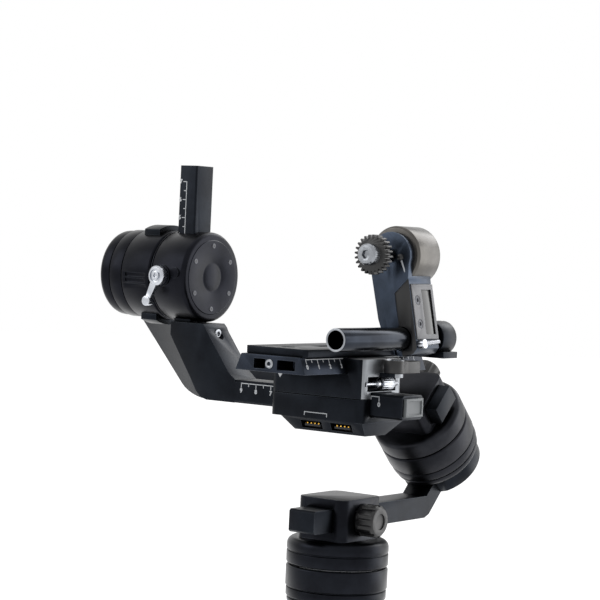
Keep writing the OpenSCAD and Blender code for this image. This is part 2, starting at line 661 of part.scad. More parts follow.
// Turning part of the tilt motor, with a slot for the vertical bar
module tilt_clamp() color([0.10, 0.10, 0.11]) at_axes() difference() {
  union() {
    along_x(clamp_x0) rotate_extrude($fn = 96) polygon(concat(
      [[0, 0], [tilt_d / 2 - 0.8, 0], [tilt_d / 2, 0.8]],
      arc(tilt_d / 2 - 2.5, tilt_clamp_w - 2.5, 2.5, 0, 90, 4), [[0, tilt_clamp_w]]));
    along_y(pinch_y) translate([lever_x, 0, 0]) cylinder(r = 6, h = 12);
    along_y(pinch_y + 0.4) translate([bar_x + 8, -2, 0]) cylinder(r = 3, h = 10);
  }
  box([bar_x - bar_w / 2 - slide_gap, bar_x + bar_w / 2 + slide_gap],
    [-bar_d / 2 - slide_gap, bar_d / 2 + slide_gap], [-60, 60]);
  translate([lever_x, -60, 0]) rotate([-90, 0, 0]) cylinder(r = lever_screw_d / 2 + button_gap, h = 60 - bar_d / 2);
  along_x(clamp_x0 + 1.2) ring(tilt_d, tilt_d / 2 - 0.7, 0.8);
}

// Cam lever that pinches the slot shut
module tilt_lock_lever() color([0.82, 0.82, 0.84]) at_axes() translate([lever_x, pinch_y - 0.4, 0]) {
  difference() {
    union() {
      rotate([90, 0, 0]) cylinder(r = 5.4, h = 3.6);
      rotate([90, 0, 0]) translate([0, 0, 3.6]) cylinder(r1 = 5.4, r2 = 4.4, h = 0.8);
      rotate([0, 24, 0]) {
        prism_y(-3.4, -0.6, [[-2.2, -3], [2.2, -3], [1.5, -15], [-1.5, -15]]);
        translate([0, 0, -15.5]) rotate([90, 0, 0]) cylinder(r = 2.7, h = 4);
      }
      rotate([-90, 0, 0]) cylinder(d = lever_screw_d, h = -pinch_y - bar_d / 2 - 0.4);
    }
    translate([0, -3.4, 0]) rotate([90, 0, 0]) ring(3.6, 2.4, 3);
    translate([0, -3.4, 0]) rotate([90, 0, 0]) cylinder(d = 2.6, h = 3, $fn = 6);
  }
}

// Graduated bar that slides up and down in the clamp
module vertical_bar() color([0.09, 0.09, 0.10]) at_axes() difference() {
  translate([bar_x, 0, bracket_top - 12]) linear_extrude(bar_top - bracket_top + 12) polygon(round_rect(bar_w, bar_d, 1));
  along_x(bar_x - bar_w) translate([-bracket_top + screw_drop, 0, 0]) cylinder(d = 3, h = bar_w * 2);
  along_x(bracket_x0 - 2) translate([-bracket_top + screw_drop, 0, 0]) cylinder(d = 5.8, h = 3.8);
}

bracket_x0 = bar_x - bar_w / 2 - 0.2;
bracket_x1 = bracket_x0 + bracket_leg_w;
screw_drop = 5.5;
cap_inset = 1.5;

module rail_chamfer(y, z) translate([0, y, z]) rotate([45, 0, 0]) cube([400, 1.7, 1.7], center = true);

// Angled leg under the vertical bar that runs out into the rail
module rail_bracket() color([0.09, 0.09, 0.10]) at_axes() difference() {
  prism_y(-rail_d / 2, rail_d / 2, concat(
    [[bracket_x0, bracket_top], [bracket_x0, -rail_drop * 0.49], [bracket_x0 + 16, -rail_drop * 0.84]],
    [[bracket_x0 + 20, -rail_drop + 4.4], [bracket_x0 + 23, -rail_drop + 1.4], [bracket_x0 + 27.5, -rail_drop]],
    [[rail_end, -rail_drop], [rail_end, rail_top], [bracket_x1 + 22, rail_top], [bracket_x1 + 17.5, rail_top + 3.6],
     [bracket_x1 + 1, bracket_top - 4], [bracket_x1, bracket_top - 2], [bracket_x1 - 2, bracket_top]]));
  translate([bar_x, 0, bracket_top - 12]) linear_extrude(20) polygon(round_rect(bar_w, bar_d, 1));
  along_x(bracket_x0 - 1) translate([-bracket_top + screw_drop, 0, 0]) cylinder(d = 3, h = 60);
  along_x(bracket_x1) translate([-bracket_top + screw_drop, 0, 0]) cylinder(d = 5.8, h = 30);
  along_x(bracket_x0 - 2) translate([-bracket_top + screw_drop, 0, 0]) cylinder(d = 5.8, h = 3.8);
  for (y = [-1, 1], z = [-rail_drop, rail_top]) intersection() {
    rail_chamfer(y * rail_d / 2, z);
    box([bracket_x1 + 22, 60], [-20, 20], [-80, -40]);
  }
  box([rail_end - 3, rail_end + 1], [-rail_d / 2 + cap_inset, rail_d / 2 - cap_inset],
    [-rail_drop + cap_inset, rail_top - cap_inset]);
}

// Two screws that hold the bar in the bracket, one from each side
module bracket_screws() color([0.70, 0.70, 0.72]) at_axes() for (side = [[bracket_x1, 90], [bracket_x0 + 1.8, -90]])
  translate([side[0], 0, bracket_top - screw_drop]) rotate([0, side[1], 0]) difference() {
    union() {
      cylinder(d = 5.4, h = 1.6);
      translate([0, 0, side[1] > 0 ? bar_x - bracket_x1 + 2 : 1.6 - bar_w / 2])
        cylinder(d = 3, h = side[1] > 0 ? bracket_x1 - bar_x - 1.9 : bar_w / 2 - 1.5);
    }
    translate([0, 0, 0.6]) cylinder(d = 2.8, h = 3, $fn = 6);
  }

module rail_end_cap() color([0.16, 0.16, 0.17]) at_axes() difference() {
  box([rail_end - 3, rail_end + 1.6], [-rail_d / 2 + cap_inset, rail_d / 2 - cap_inset],
    [-rail_drop + cap_inset, rail_top - cap_inset]);
  box([rail_end + 0.9, rail_end + 3], [-rail_d / 2 + cap_inset + 1.4, rail_d / 2 - cap_inset - 1.4],
    [-rail_drop + cap_inset + 1.4, rail_top - cap_inset - 1.4]);
}

// ---------- camera carriage ----------

// Outline of the plate between two heights, grown sideways by a gap
function dovetail(z0, z1, gap) = let (half = dovetail_w / 2 + gap, k = tan(dovetail_angle)) [
  [plate_x - half + k * (z0 - plate_z), z0], [plate_x + half - k * (z0 - plate_z), z0],
  [plate_x + half - k * (z1 - plate_z), z1], [plate_x - half + k * (z1 - plate_z), z1]];

carriage_y = carriage_front + carriage_depth / 2;
carriage_x1 = carriage_x + carriage_w / 2;
wheel_lock_z = (rail_top + plate_z) / 2 - 0.2;
wheel_lock_x = carriage_x1 - 0.4;
cam_x = carriage_x1 + 6;
cam_y = 2;
ear_z = wheel_lock_z + 3.8;
ear_t = 2;
plate_lever_h = 6.8;

module carriage_block(z0, z1) translate([carriage_x, carriage_y, z0]) linear_extrude(z1 - z0)
  polygon(round_rect(carriage_w, carriage_depth, 4));

module rail_channel() box([-100, 100], [-rail_d / 2 - slide_gap, rail_d / 2 + slide_gap],
  [-rail_drop - slide_gap, rail_top + slide_gap]);

// Upper half: rides on the rail and grips the dovetail plate
module carriage_body() color([0.09, 0.09, 0.10]) at_axes() difference() {
  union() {
    carriage_block(seam_z + 0.4, jaw_top);
    translate([cam_x, cam_y, ear_z]) cylinder(r = 4.8, h = ear_t);
    box([carriage_x1 - 1, cam_x], [cam_y - 4.8, cam_y + 4.8], [ear_z, ear_z + ear_t]);
  }
  rail_channel();
  prism_y(-60, 60, dovetail(plate_z - slide_gap, plate_top + 2, slide_gap + 0.02));
  box([wheel_lock_x - 4.6, 60], [-13, 13], [wheel_lock_z - 3.8, wheel_lock_z + 3.8]);
  along_y(-15) translate([wheel_lock_x, -wheel_lock_z, 0]) cylinder(r = 1.2 + run_gap, h = 30);
  translate([cam_x, cam_y, ear_z - 1]) cylinder(r = 2 + run_gap, h = ear_t + 2);
}

// Lower half: closes round the rail and holds the sockets
module port_housing() color([0.09, 0.09, 0.10]) at_axes() difference() {
  union() {
    carriage_block(carriage_foot, seam_z);
    intersection() {
      prism_y(-60, 60, [[carriage_x - carriage_w / 2 + 8, carriage_foot + 0.01],
        [carriage_x - carriage_w / 2 + 15, carriage_foot - foot_h],
        [carriage_x1 + 1, carriage_foot - foot_h], [carriage_x1 + 1, carriage_foot + 0.01]]);
      prism_x(-60, 60, [[carriage_front, carriage_foot + 0.01], [carriage_front + 3.4, carriage_foot - foot_h],
        [carriage_front + 22, carriage_foot - foot_h], [carriage_front + 38, carriage_foot + 0.01]]);
    }
  }
  rail_channel();
  for (x = [-9, 10]) box([x - 6.7, x + 6.7], [carriage_front - 1, carriage_front + 12],
    [carriage_foot - 5.4, carriage_foot - 1.3]);
}

// Two four-pin sockets, each a tongue with its pins
module port_sockets() at_axes() for (x = [-9, 10]) {
  color([0.04, 0.04, 0.04]) box([x - 6.7, x + 6.7], [carriage_front + 8, carriage_front + 12],
    [carriage_foot - 5.4, carriage_foot - 1.3]);
  color([0.04, 0.04, 0.04]) box([x - 5, x + 5], [carriage_front + 2.6, carriage_front + 8],
    [carriage_foot - 4.2, carriage_foot - 3]);
  color([0.85, 0.66, 0.28]) for (k = [-1.5:1:1.5])
    box([x + k * 2.4 - 0.45, x + k * 2.4 + 0.45], [carriage_front + 2.9, carriage_front + 8],
      [carriage_foot - 3, carriage_foot - 2.4]);
}

// Knurled wheel on a cross screw that pinches the carriage on the rail
module carriage_lock_wheel() color([0.80, 0.80, 0.82]) at_axes() translate([wheel_lock_x, 0, wheel_lock_z])
  rotate([-90, 0, 0]) {
    difference() {
      translate([0, 0, -1.6]) cylinder(r = 3.3, h = 10.4);
      for (i = [0:17]) rotate(i * 20) translate([3.6, 0, -5]) cylinder(r = 0.45, h = 20, $fn = 16);
    }
    translate([0, 0, -14.5]) cylinder(r = 1.2, h = 29);
    translate([0, 0, -5.6]) cylinder(r = 2.4, h = 2);
  }

// Cam lever that closes the jaw on the dovetail plate
module plate_lock_lever() at_axes() translate([cam_x, cam_y, ear_z]) {
  color([0.80, 0.80, 0.82]) cylinder(r = 2, h = ear_t + slide_gap + 0.01);
  color([0.08, 0.08, 0.09]) translate([0, 0, ear_t + slide_gap]) union() {
    cylinder(r = 5.4, h = plate_lever_h);
    rotate(-8) linear_extrude(plate_lever_h - 0.6) polygon(concat([[4.6, 1], [5, 6]], arc(0.6, 15.4, 3, 0, 150, 5), [[-4.4, 6], [-4.6, 1]]));
  }
  color([0.80, 0.80, 0.82]) translate([0, 0, ear_t + slide_gap + plate_lever_h - 0.1]) cylinder(r1 = 4.2, r2 = 3.6, h = 0.6);
}

// ---------- camera plate ----------

screw_y = 8;
screw_shank_d = camera_screw_d - 0.9;
fixing_ys = [-40, 44];

module dovetail_plate() color([0.20, 0.21, 0.23]) at_axes() difference() {
  prism_y(-plate_front, plate_rear, dovetail(plate_z, plate_top, 0));
  for (x = [[-10.4, -3.2], [4.4, 15.6]]) box([plate_x + x[0], plate_x + x[1]],
    [-plate_front - 1, -plate_front + 14], [plate_z + 1.6, plate_top - 2.2]);
  box([plate_x - screw_shank_d / 2 - 0.4, plate_x + screw_shank_d / 2 + 0.4], [-16, 32], [plate_z - 1, plate_top + 1]);
  box([plate_x - 6.6, plate_x + 6.6], [-22, 38], [plate_z - 1, plate_z + 4]);
  for (y = fixing_ys) translate([plate_x, y, plate_z - 1]) cylinder(d = 4, h = dovetail_h + 2);
}

wing_y0 = rod_rear - mount_len - 3;
wing_top = riser_top - 0.6;

// Flat plate under the camera, with a lower wing that carries the rod mount
module riser_plate() color([0.08, 0.08, 0.09]) at_axes() difference() {
  translate([0, 0, plate_top]) linear_extrude(riser_t) polygon([
    [plate_x - 19, -plate_front + 5], [plate_x - 17, -plate_front + 3], [plate_x + 18, -plate_front + 3],
    [plate_x + 20, -plate_front + 5], [plate_x + 20, wing_y0 - 6], [plate_x + 26, wing_y0],
    [rod_x + rod_d / 2 + 4, wing_y0], [rod_x + rod_d / 2 + 4, rod_rear - 2],
    [plate_x + 20, rod_rear - 2], [plate_x + 20, plate_rear - 2], [plate_x + 18, plate_rear],
    [plate_x - 17, plate_rear], [plate_x - 19, plate_rear - 2]]);
  box([plate_x + 20, 80], [0, 80], [wing_top, riser_top + 1]);
  box([plate_x - camera_screw_d / 2 - 0.4, plate_x + camera_screw_d / 2 + 0.4], [-16, 32], [plate_top - 1, riser_top + 1]);
  for (y = fixing_ys) {
    translate([plate_x, y, plate_top - 1]) cylinder(d = 4, h = riser_t + 2);
    translate([plate_x, y, riser_top - 2.4]) cylinder(d = 7.4, h = 3);
  }
}

// Captive quarter-inch screw that the camera sits on
module camera_screw() color([0.72, 0.72, 0.74]) at_axes() translate([plate_x, screw_y, 0]) difference() {
  union() {
    translate([0, 0, plate_z + 0.6]) cylinder(r = 6, h = 3);
    translate([0, 0, plate_z + 3.5]) cylinder(d = screw_shank_d, h = riser_top - plate_z - 3.1);
    translate([0, 0, riser_top + 0.3]) cylinder(d = camera_screw_d, h = 5);
  }
  translate([-0.8, -7, plate_z]) cube([1.6, 14, 2]);
}

module plate_screws() color([0.55, 0.55, 0.57]) at_axes() for (y = fixing_ys)
  translate([plate_x, y, riser_top - 2.4]) cap_screw(3.8, riser_t + dovetail_h - 4);

// Clamp block on the riser's wing that holds the rod
module rod_mount() color([0.16, 0.16, 0.17]) at_axes() difference() {
  union() {
    along_y(rod_rear - 2 - mount_len) translate([rod_x, -rod_z, 0]) cylinder(r = rod_d / 2 + 3.2, h = mount_len);
    box([rod_x - rod_d / 2, rod_x + rod_d / 2], [rod_rear - 2 - mount_len, rod_rear - 2], [wing_top, rod_z]);
  }
  box([0, 60], [0, 80], [wing_top - 20, wing_top]);
  along_y(0) translate([rod_x, -rod_z, 0]) cylinder(r = rod_d / 2 + fit_gap, h = 80);
  box([rod_x - 0.6, rod_x + 0.6], [0, 80], [rod_z, rod_z + 20]);
}

module accessory_rod() color([0.16, 0.16, 0.17]) at_axes() along_y(rod_front) translate([rod_x, -rod_z, 0]) difference() {
  cylinder(d = rod_d, h = rod_rear - rod_front);
  translate([0, 0, -1]) cylinder(d = rod_d - 2.4, h = 26);
}

// ---------- focus motor ----------

// Local origin on the rod, +Z up the leaning motor
module on_focus_motor() at_axes() translate([rod_x, 0, rod_z]) rotate([0, -motor_lean, 0]) children();

cover_x = 9;
cover_t = 1.2;
cover_z0 = -1.6;
cover_z1 = motor_reach - focus_can_d / 2 - 1.2;
clamp_r = rod_d / 2 + 3.4;
front_step = 0.6;

module focus_motor_body() color([0.17, 0.20, 0.24]) on_focus_motor() difference() {
  prism_y(focus_y0, focus_y1, concat(
    arc(0, 0, clamp_r, 190, 275, 6), [[cover_x - 2.6, -clamp_r + 0.6], [cover_x, -clamp_r + 3]],
    [[cover_x, motor_reach - 14]], arc(0, motor_reach, 12.4, -30, 180, 14),
    [[-13.2, motor_reach - 8], [-12.4, 12], [-10.5, 2]]));
  along_y(0) cylinder(d = rod_d + 2 * slide_gap, h = 60);
  translate([0, focus_y0 + 4, motor_reach]) rotate([-90, 0, 0]) cylinder(r = focus_can_d / 2 + fit_gap, h = 60);
  translate([0, 0, motor_reach]) rotate([-90, 0, 0]) cylinder(r = 3 + run_gap, h = 60);
  box([-4.6, -3.4], [0, 60], [-30, 0]);
  prism_y(focus_y0 - 1, focus_y0 + front_step, [[cover_x - 9.4, -20], [cover_x + 2, -20],
    [cover_x + 2, motor_reach - 12.4], [cover_x - 9.4, motor_reach - 20]]);
  box([cover_x - cover_t, cover_x + 5], [focus_y0 + 1.4, focus_y1 + 1], [cover_z0 - 0.2, cover_z1 + 0.2]);
}

// Round can behind the body's head, with a turned edge
module focus_motor_can() color([0.42, 0.40, 0.38]) on_focus_motor() translate([0, focus_y0 + 4, motor_reach])
  rotate([-90, 0, 0]) difference() {
    rotate_extrude() polygon([[3 + run_gap, 0], [focus_can_d / 2 - 1, 0], [focus_can_d / 2, 1],
      [focus_can_d / 2, focus_can_len - 1.6], [focus_can_d / 2 - 1.6, focus_can_len], [0, focus_can_len],
      [0, focus_can_len - 2.2], [3 + run_gap, focus_can_len - 2.2]]);
  }

// Side cover with its dark window and two screws
module focus_motor_cover() on_focus_motor() {
  window = [[focus_y0 + 10.6, focus_y1 - 2.2], [cover_z0 + 2.4, cover_z1 - 2.8]];
  screw_zs = [cover_z0 + 8, cover_z0 + 20.5];
  color([0.34, 0.35, 0.36]) difference() {
    box([cover_x - cover_t, cover_x + 0.6], [focus_y0 + 1.6, focus_y1], [cover_z0, cover_z1]);
    box([cover_x - 0.6, cover_x + 2], window[0], window[1]);
    for (z = screw_zs) translate([cover_x - 0.4, focus_y0 + 6, z]) rotate([0, 90, 0]) cylinder(d = 5, h = 4);
  }
  color([0.03, 0.03, 0.03]) box([cover_x - 0.6, cover_x + 0.1], window[0] + [0.02, -0.02], window[1] + [0.02, -0.02]);
  color([0.6, 0.6, 0.62]) for (z = screw_zs) translate([cover_x - 0.4, focus_y0 + 6, z]) rotate([0, 90, 0])
    difference() {
      cylinder(d = 4.6, h = 0.9);
      translate([0, 0, 0.4]) cylinder(d = 2.2, h = 2, $fn = 6);
    }
}

focus_lever_y = focus_y0 + 3.4;
focus_lever_z = -clamp_r + 5;

// Thumb lever that closes the motor's rod clamp
module focus_lock_lever() color([0.80, 0.80, 0.82]) on_focus_motor()
  translate([cover_x + slide_gap, focus_lever_y, focus_lever_z]) rotate([0, 90, 0]) {
    cylinder(r = 2.4, h = 3.4);
    translate([0, 0, 2]) rotate([-90, 0, 4]) cylinder(r = 1.2, h = 15);
  }

// Spur gear with a screw cap and its shaft
module focus_gear() on_focus_motor() translate([0, gear_y0, motor_reach]) rotate([-90, 0, 0]) {
  root_r = gear_module * (gear_teeth / 2 - 1.25);
  tip_r = gear_module * (gear_teeth / 2 + 1);
  pitch = 360 / gear_teeth;
  color([0.06, 0.06, 0.06]) union() {
    linear_extrude(gear_w) polygon([for (i = [0:gear_teeth - 1]) each
      [for (k = [[-0.36, root_r], [-0.16, tip_r], [0.16, tip_r], [0.36, root_r]])
        k[1] * [cos((i + k[0]) * pitch), sin((i + k[0]) * pitch)]]]);
    translate([0, 0, gear_w - 0.01]) cylinder(r = 3, h = focus_y0 + 16 - gear_y0 - gear_w);
  }
  color([0.75, 0.75, 0.77]) translate([0, 0, -gear_cap_h]) difference() {
    union() {
      cylinder(r1 = 4.6, r2 = 5.6, h = 1);
      translate([0, 0, 1]) cylinder(r = 5.6, h = gear_cap_h - 1);
    }
    translate([0, 0, -1]) cylinder(d = 5, h = 3.4, $fn = 6);
  }
}

// ---------- nodes ----------

grip_shell();
grip_rubber();
battery_cells();
level_window();
battery_button();
grip_collar();
head_left_shell();
head_right_shell();
head_board();
control_panel();
joystick_cradle();
joystick_cap();
mode_button();
power_button();
trigger();
focus_wheel();
usb_cover();
tripod_hub();
tripod_stud();
leg_pins();
tripod_leg(0);  // tripod_leg_a
tripod_leg(1);  // tripod_leg_b
tripod_leg(2);  // tripod_leg_c
pan_motor_can();
pan_stator();
pan_motor_bell();
pan_rotor();
pan_lock_knob();
pan_arm();
roll_motor_can();
roll_stator();
roll_motor_bell();
roll_rotor();
roll_lock_knob();
roll_arm();
tilt_motor_can();
tilt_stator();
tilt_clamp();
tilt_rotor();
tilt_lock_lever();
vertical_bar();
rail_bracket();
bracket_screws();
rail_end_cap();
carriage_body();
port_housing();
port_sockets();
carriage_lock_wheel();
plate_lock_lever();
dovetail_plate();
riser_plate();
camera_screw();
rod_mount();
accessory_rod();
plate_screws();
focus_motor_body();
focus_motor_can();
focus_motor_cover();
focus_lock_lever();
focus_gear();
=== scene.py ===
import json
import math
import bmesh
import bpy
from mathutils import Matrix, Vector


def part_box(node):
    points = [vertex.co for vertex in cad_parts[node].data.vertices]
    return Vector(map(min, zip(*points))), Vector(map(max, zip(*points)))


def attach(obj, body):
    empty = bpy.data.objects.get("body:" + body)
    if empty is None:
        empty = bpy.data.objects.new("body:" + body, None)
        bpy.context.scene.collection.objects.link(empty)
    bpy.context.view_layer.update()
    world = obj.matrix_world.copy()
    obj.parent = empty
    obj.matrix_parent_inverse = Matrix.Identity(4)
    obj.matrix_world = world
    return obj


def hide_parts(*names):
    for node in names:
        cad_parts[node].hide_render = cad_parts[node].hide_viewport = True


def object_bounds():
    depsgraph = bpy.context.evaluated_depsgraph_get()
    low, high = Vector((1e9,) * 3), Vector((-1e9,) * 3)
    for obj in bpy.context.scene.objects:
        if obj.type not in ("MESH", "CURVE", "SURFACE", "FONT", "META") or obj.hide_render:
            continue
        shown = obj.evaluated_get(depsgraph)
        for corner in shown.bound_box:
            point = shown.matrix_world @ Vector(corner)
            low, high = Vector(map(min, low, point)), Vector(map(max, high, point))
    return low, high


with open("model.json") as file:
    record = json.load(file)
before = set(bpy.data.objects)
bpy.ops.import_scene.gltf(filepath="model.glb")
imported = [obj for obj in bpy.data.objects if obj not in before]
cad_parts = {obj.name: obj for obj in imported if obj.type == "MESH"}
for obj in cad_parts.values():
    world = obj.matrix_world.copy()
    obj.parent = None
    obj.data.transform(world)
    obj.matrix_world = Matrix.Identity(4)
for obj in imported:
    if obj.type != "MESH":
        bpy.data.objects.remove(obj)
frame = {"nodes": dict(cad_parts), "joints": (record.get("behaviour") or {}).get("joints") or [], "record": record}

cadLow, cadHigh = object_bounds()
nodes = frame["nodes"]
scene = bpy.context.scene
mm = 0.001
jointOf = {joint["name"]: joint for joint in frame["joints"]}
axisHeight = jointOf["tilt"]["pos_m"][2]     # height where the three motor axes cross
print("frame loaded:", len(nodes), "nodes, axes cross at", round(axisHeight, 4), "m")


def linear(hexText):
    channels = [int(hexText[i:i + 2], 16) / 255 for i in (1, 3, 5)]
    return (*[c / 12.92 if c <= 0.04045 else ((c + 0.055) / 1.055) ** 2.4 for c in channels], 1.0)


def addNode(tree, kind, links=None, **settings):
    node = tree.nodes.new(kind)
    for key, value in settings.items():
        setattr(node, key, value)
    for socket, value in (links or {}).items():
        if isinstance(value, bpy.types.NodeSocket):
            tree.links.new(value, node.inputs[socket])
        else:
            node.inputs[socket].default_value = value
    return node


# Finishes. Sizes of grain, lathe lines and edge wear are millimetres on the real surface.
# A metal's base colour is its dyed or bare metal, and a plastic's is its pigment.
finishes = {
    # black anodised aluminium, bead blasted: near black, a cold soft sheen, paler where edges rub
    "anodisedArm": dict(base="#1d2025", second="#16181c", metallic=1.0, roughness=0.40, spread=0.07,
                        grain=0.35,
                        bump=0.12, wear="#6b7078", wearAmount=0.5),
    # black anodised aluminium turned on a lathe: the same dye over fine rings round the motor
    "anodisedTilt": dict(base="#1c1d22", second="#15161a", metallic=1.0, roughness=0.30, spread=0.06,
                         grain=0.4,
                         bump=0.05, wear="#5d626b", wearAmount=0.45, turned=(1, 0, 0), turnedPitch=0.5),
    "anodisedPan": dict(base="#1e2025", second="#16171b", metallic=1.0, roughness=0.32, spread=0.06,
                        grain=0.4,
                        bump=0.05, wear="#5d626b", wearAmount=0.45, turned=(0, 0, 1), turnedPitch=0.5),
    "anodisedRoll": dict(base="#2a2b2f", second="#1d1e22", metallic=1.0, roughness=0.38, spread=0.06,
                         grain=0.4,
                         bump=0.05, wear="#5d626b", wearAmount=0.45, turned=(0, 0.7071, -0.7071),
                         turnedPitch=0.5),
    # slate anodised aluminium, milled: blue grey with faint straight cutter lines
    "anodisedPlate": dict(base="#2f343e", second="#252930", metallic=1.0, roughness=0.36, spread=0.08,
                          grain=0.4,
                          bump=0.08, wear="#8a909c", wearAmount=0.5, turned=(0, 1, 0), turnedPitch=0.8),
    "anodisedFocus": dict(base="#3b4350", second="#30363f", metallic=1.0, roughness=0.34, spread=0.07,
                          grain=0.4,
                          bump=0.06, wear="#8d97a8", wearAmount=0.5),
    # aluminium can, turned and clear anodised: warm grey, long soft highlight
    "turnedCan": dict(base="#5a5855", second="#4a4846", metallic=1.0, roughness=0.28, spread=0.06,
                      grain=0.4,
                      bump=0.05, wear="#c9c6c2", wearAmount=0.5, turned=(0, 1, 0), turnedPitch=0.45),
    # black anodised tube, polished before dyeing: a long clean highlight
    "anodisedRod": dict(base="#2b2f36", second="#202329", metallic=1.0, roughness=0.20, spread=0.05,
                        grain=0.5,
                        bump=0.02, wear="#7a808a", wearAmount=0.4, turned=(0, 1, 0), turnedPitch=0.4),
    # ABS and polycarbonate blend from an etched mould: charcoal, fine even texture
    "mouldedShell": dict(base="#1b1c1f", second="#151618", metallic=0.0, roughness=0.50, spread=0.08,
                         grain=0.45,
                         bump=0.35, wear="#34363a", wearAmount=0.5),
    "mouldedPanel": dict(base="#222428", second="#1b1c20", metallic=0.0, roughness=0.40, spread=0.06,
                         grain=0.35,
                         bump=0.18, wear="#3b3e44", wearAmount=0.5),
    "mouldedButton": dict(base="#2d2e32", second="#242528", metallic=0.0, roughness=0.45, spread=0.05,
                          grain=0.4,
                          bump=0.15, wear="#484a4f", wearAmount=0.5),
    "mouldedKnob": dict(base="#121214", second="#0c0c0e", metallic=0.0, roughness=0.42, spread=0.08,
                        grain=0.4,
                        bump=0.18, wear="#303236", wearAmount=0.5),
    # pale even grey painted on the carriage's right-facing faces: painted light from the side lamp, not a metal of
    # its own
    "paintedLitFlank": dict(base="#8f9296", second="#828589", metallic=1.0, roughness=0.5, spread=0.06,
                          grain=0.35,
                          bump=0.1, wear="#c4c7ca", wearAmount=0.5),
    # steel screw, black oxide finish: dark grey with an oily sheen
    "oxideSteel": dict(base="#4b4c50", second="#3d3e42", metallic=1.0, roughness=0.34, spread=0.06,
                       grain=0.3,
                       bump=0.03),
    "greyCap": dict(base="#6f7376", second="#63676a", metallic=0.0, roughness=0.48, spread=0.06, grain=0.4,
                    bump=0.3, wear="#b9bdbf", wearAmount=0.5),
    "coverPlastic": dict(base="#6d6d70", second="#5f6063", metallic=0.3, roughness=0.42, spread=0.05,
                         grain=0.35,
                         bump=0.18, wear="#a5a6a8", wearAmount=0.5),
    # acetal gear: self coloured black, a little waxy
    "acetalGear": dict(base="#0e0e10", second="#09090a", metallic=0.0, roughness=0.36, spread=0.06,
                       grain=0.3,
                       bump=0.1, wear="#2a2b2d", wearAmount=0.4),
    # silicone rubber: dull, slightly dusty
    "gripRubber": dict(base="#17171a", second="#1f1f22", metallic=0.0, roughness=0.78, spread=0.08,
                       grain=0.6,
                       bump=0.4, wear="#2c2d30", wearAmount=0.6),
    # zinc casting, plated and tumbled: bright, with a soft blur
    "platedZinc": dict(base="#bcbfc5", second="#b0b3ba", metallic=1.0, roughness=0.24, spread=0.08,
                       grain=0.5,
                       bump=0.05, wear="#eceef2", wearAmount=0.5),
    # turned stainless steel: plain grey metal with lathe lines
    "turnedSteel": dict(base="#9a9da1", second="#888b90", metallic=1.0, roughness=0.30, spread=0.08,
                        grain=0.4, bump=0.05),
    # gold flashed contact pin: warm and bright
    "goldContact": dict(base="#e6b652", second="#c99a3c", metallic=1.0, roughness=0.22, spread=0.05,
                        grain=0.3, bump=0.02),
    # glass filled nylon in the sockets: dead black, matt
    "socketPlastic": dict(base="#0b0b0c", second="#070708", metallic=0.0, roughness=0.6, spread=0.05,
                          grain=0.3, bump=0.1),
    # smoked acrylic over lights and the motor's window: black glass with faint swirls
    "smokedAcrylic": dict(base="#0d0e10", second="#08090a", metallic=0.0, roughness=0.10, spread=0.03,
                          grain=1.5, bump=0.01),
    # enamelled copper wire on the motor cores
    "copperWinding": dict(base="#b4703a", second="#96582a", metallic=0.9, roughness=0.35, spread=0.1,
                          grain=0.5, bump=0.5),
    # green solder mask on fibreglass: glossy lacquer
    "solderMask": dict(base="#1d5a36", second="#174a2c", metallic=0.0, roughness=0.35, spread=0.05,
                       grain=0.8, bump=0.05),
    # heat shrink film on the cells: soft gloss with slight crinkle
    "cellWrap": dict(base="#2f5ea8", second="#27508f", metallic=0.0, roughness=0.3, spread=0.05, grain=2.0,
                     bump=0.05),
    # screen printing ink: flat, slightly raised white
    "printInk": dict(base="#e4e7ea", second="#cdd1d6", metallic=0.0, roughness=0.55, spread=0.05, grain=0.3,
                     bump=0.05),
}


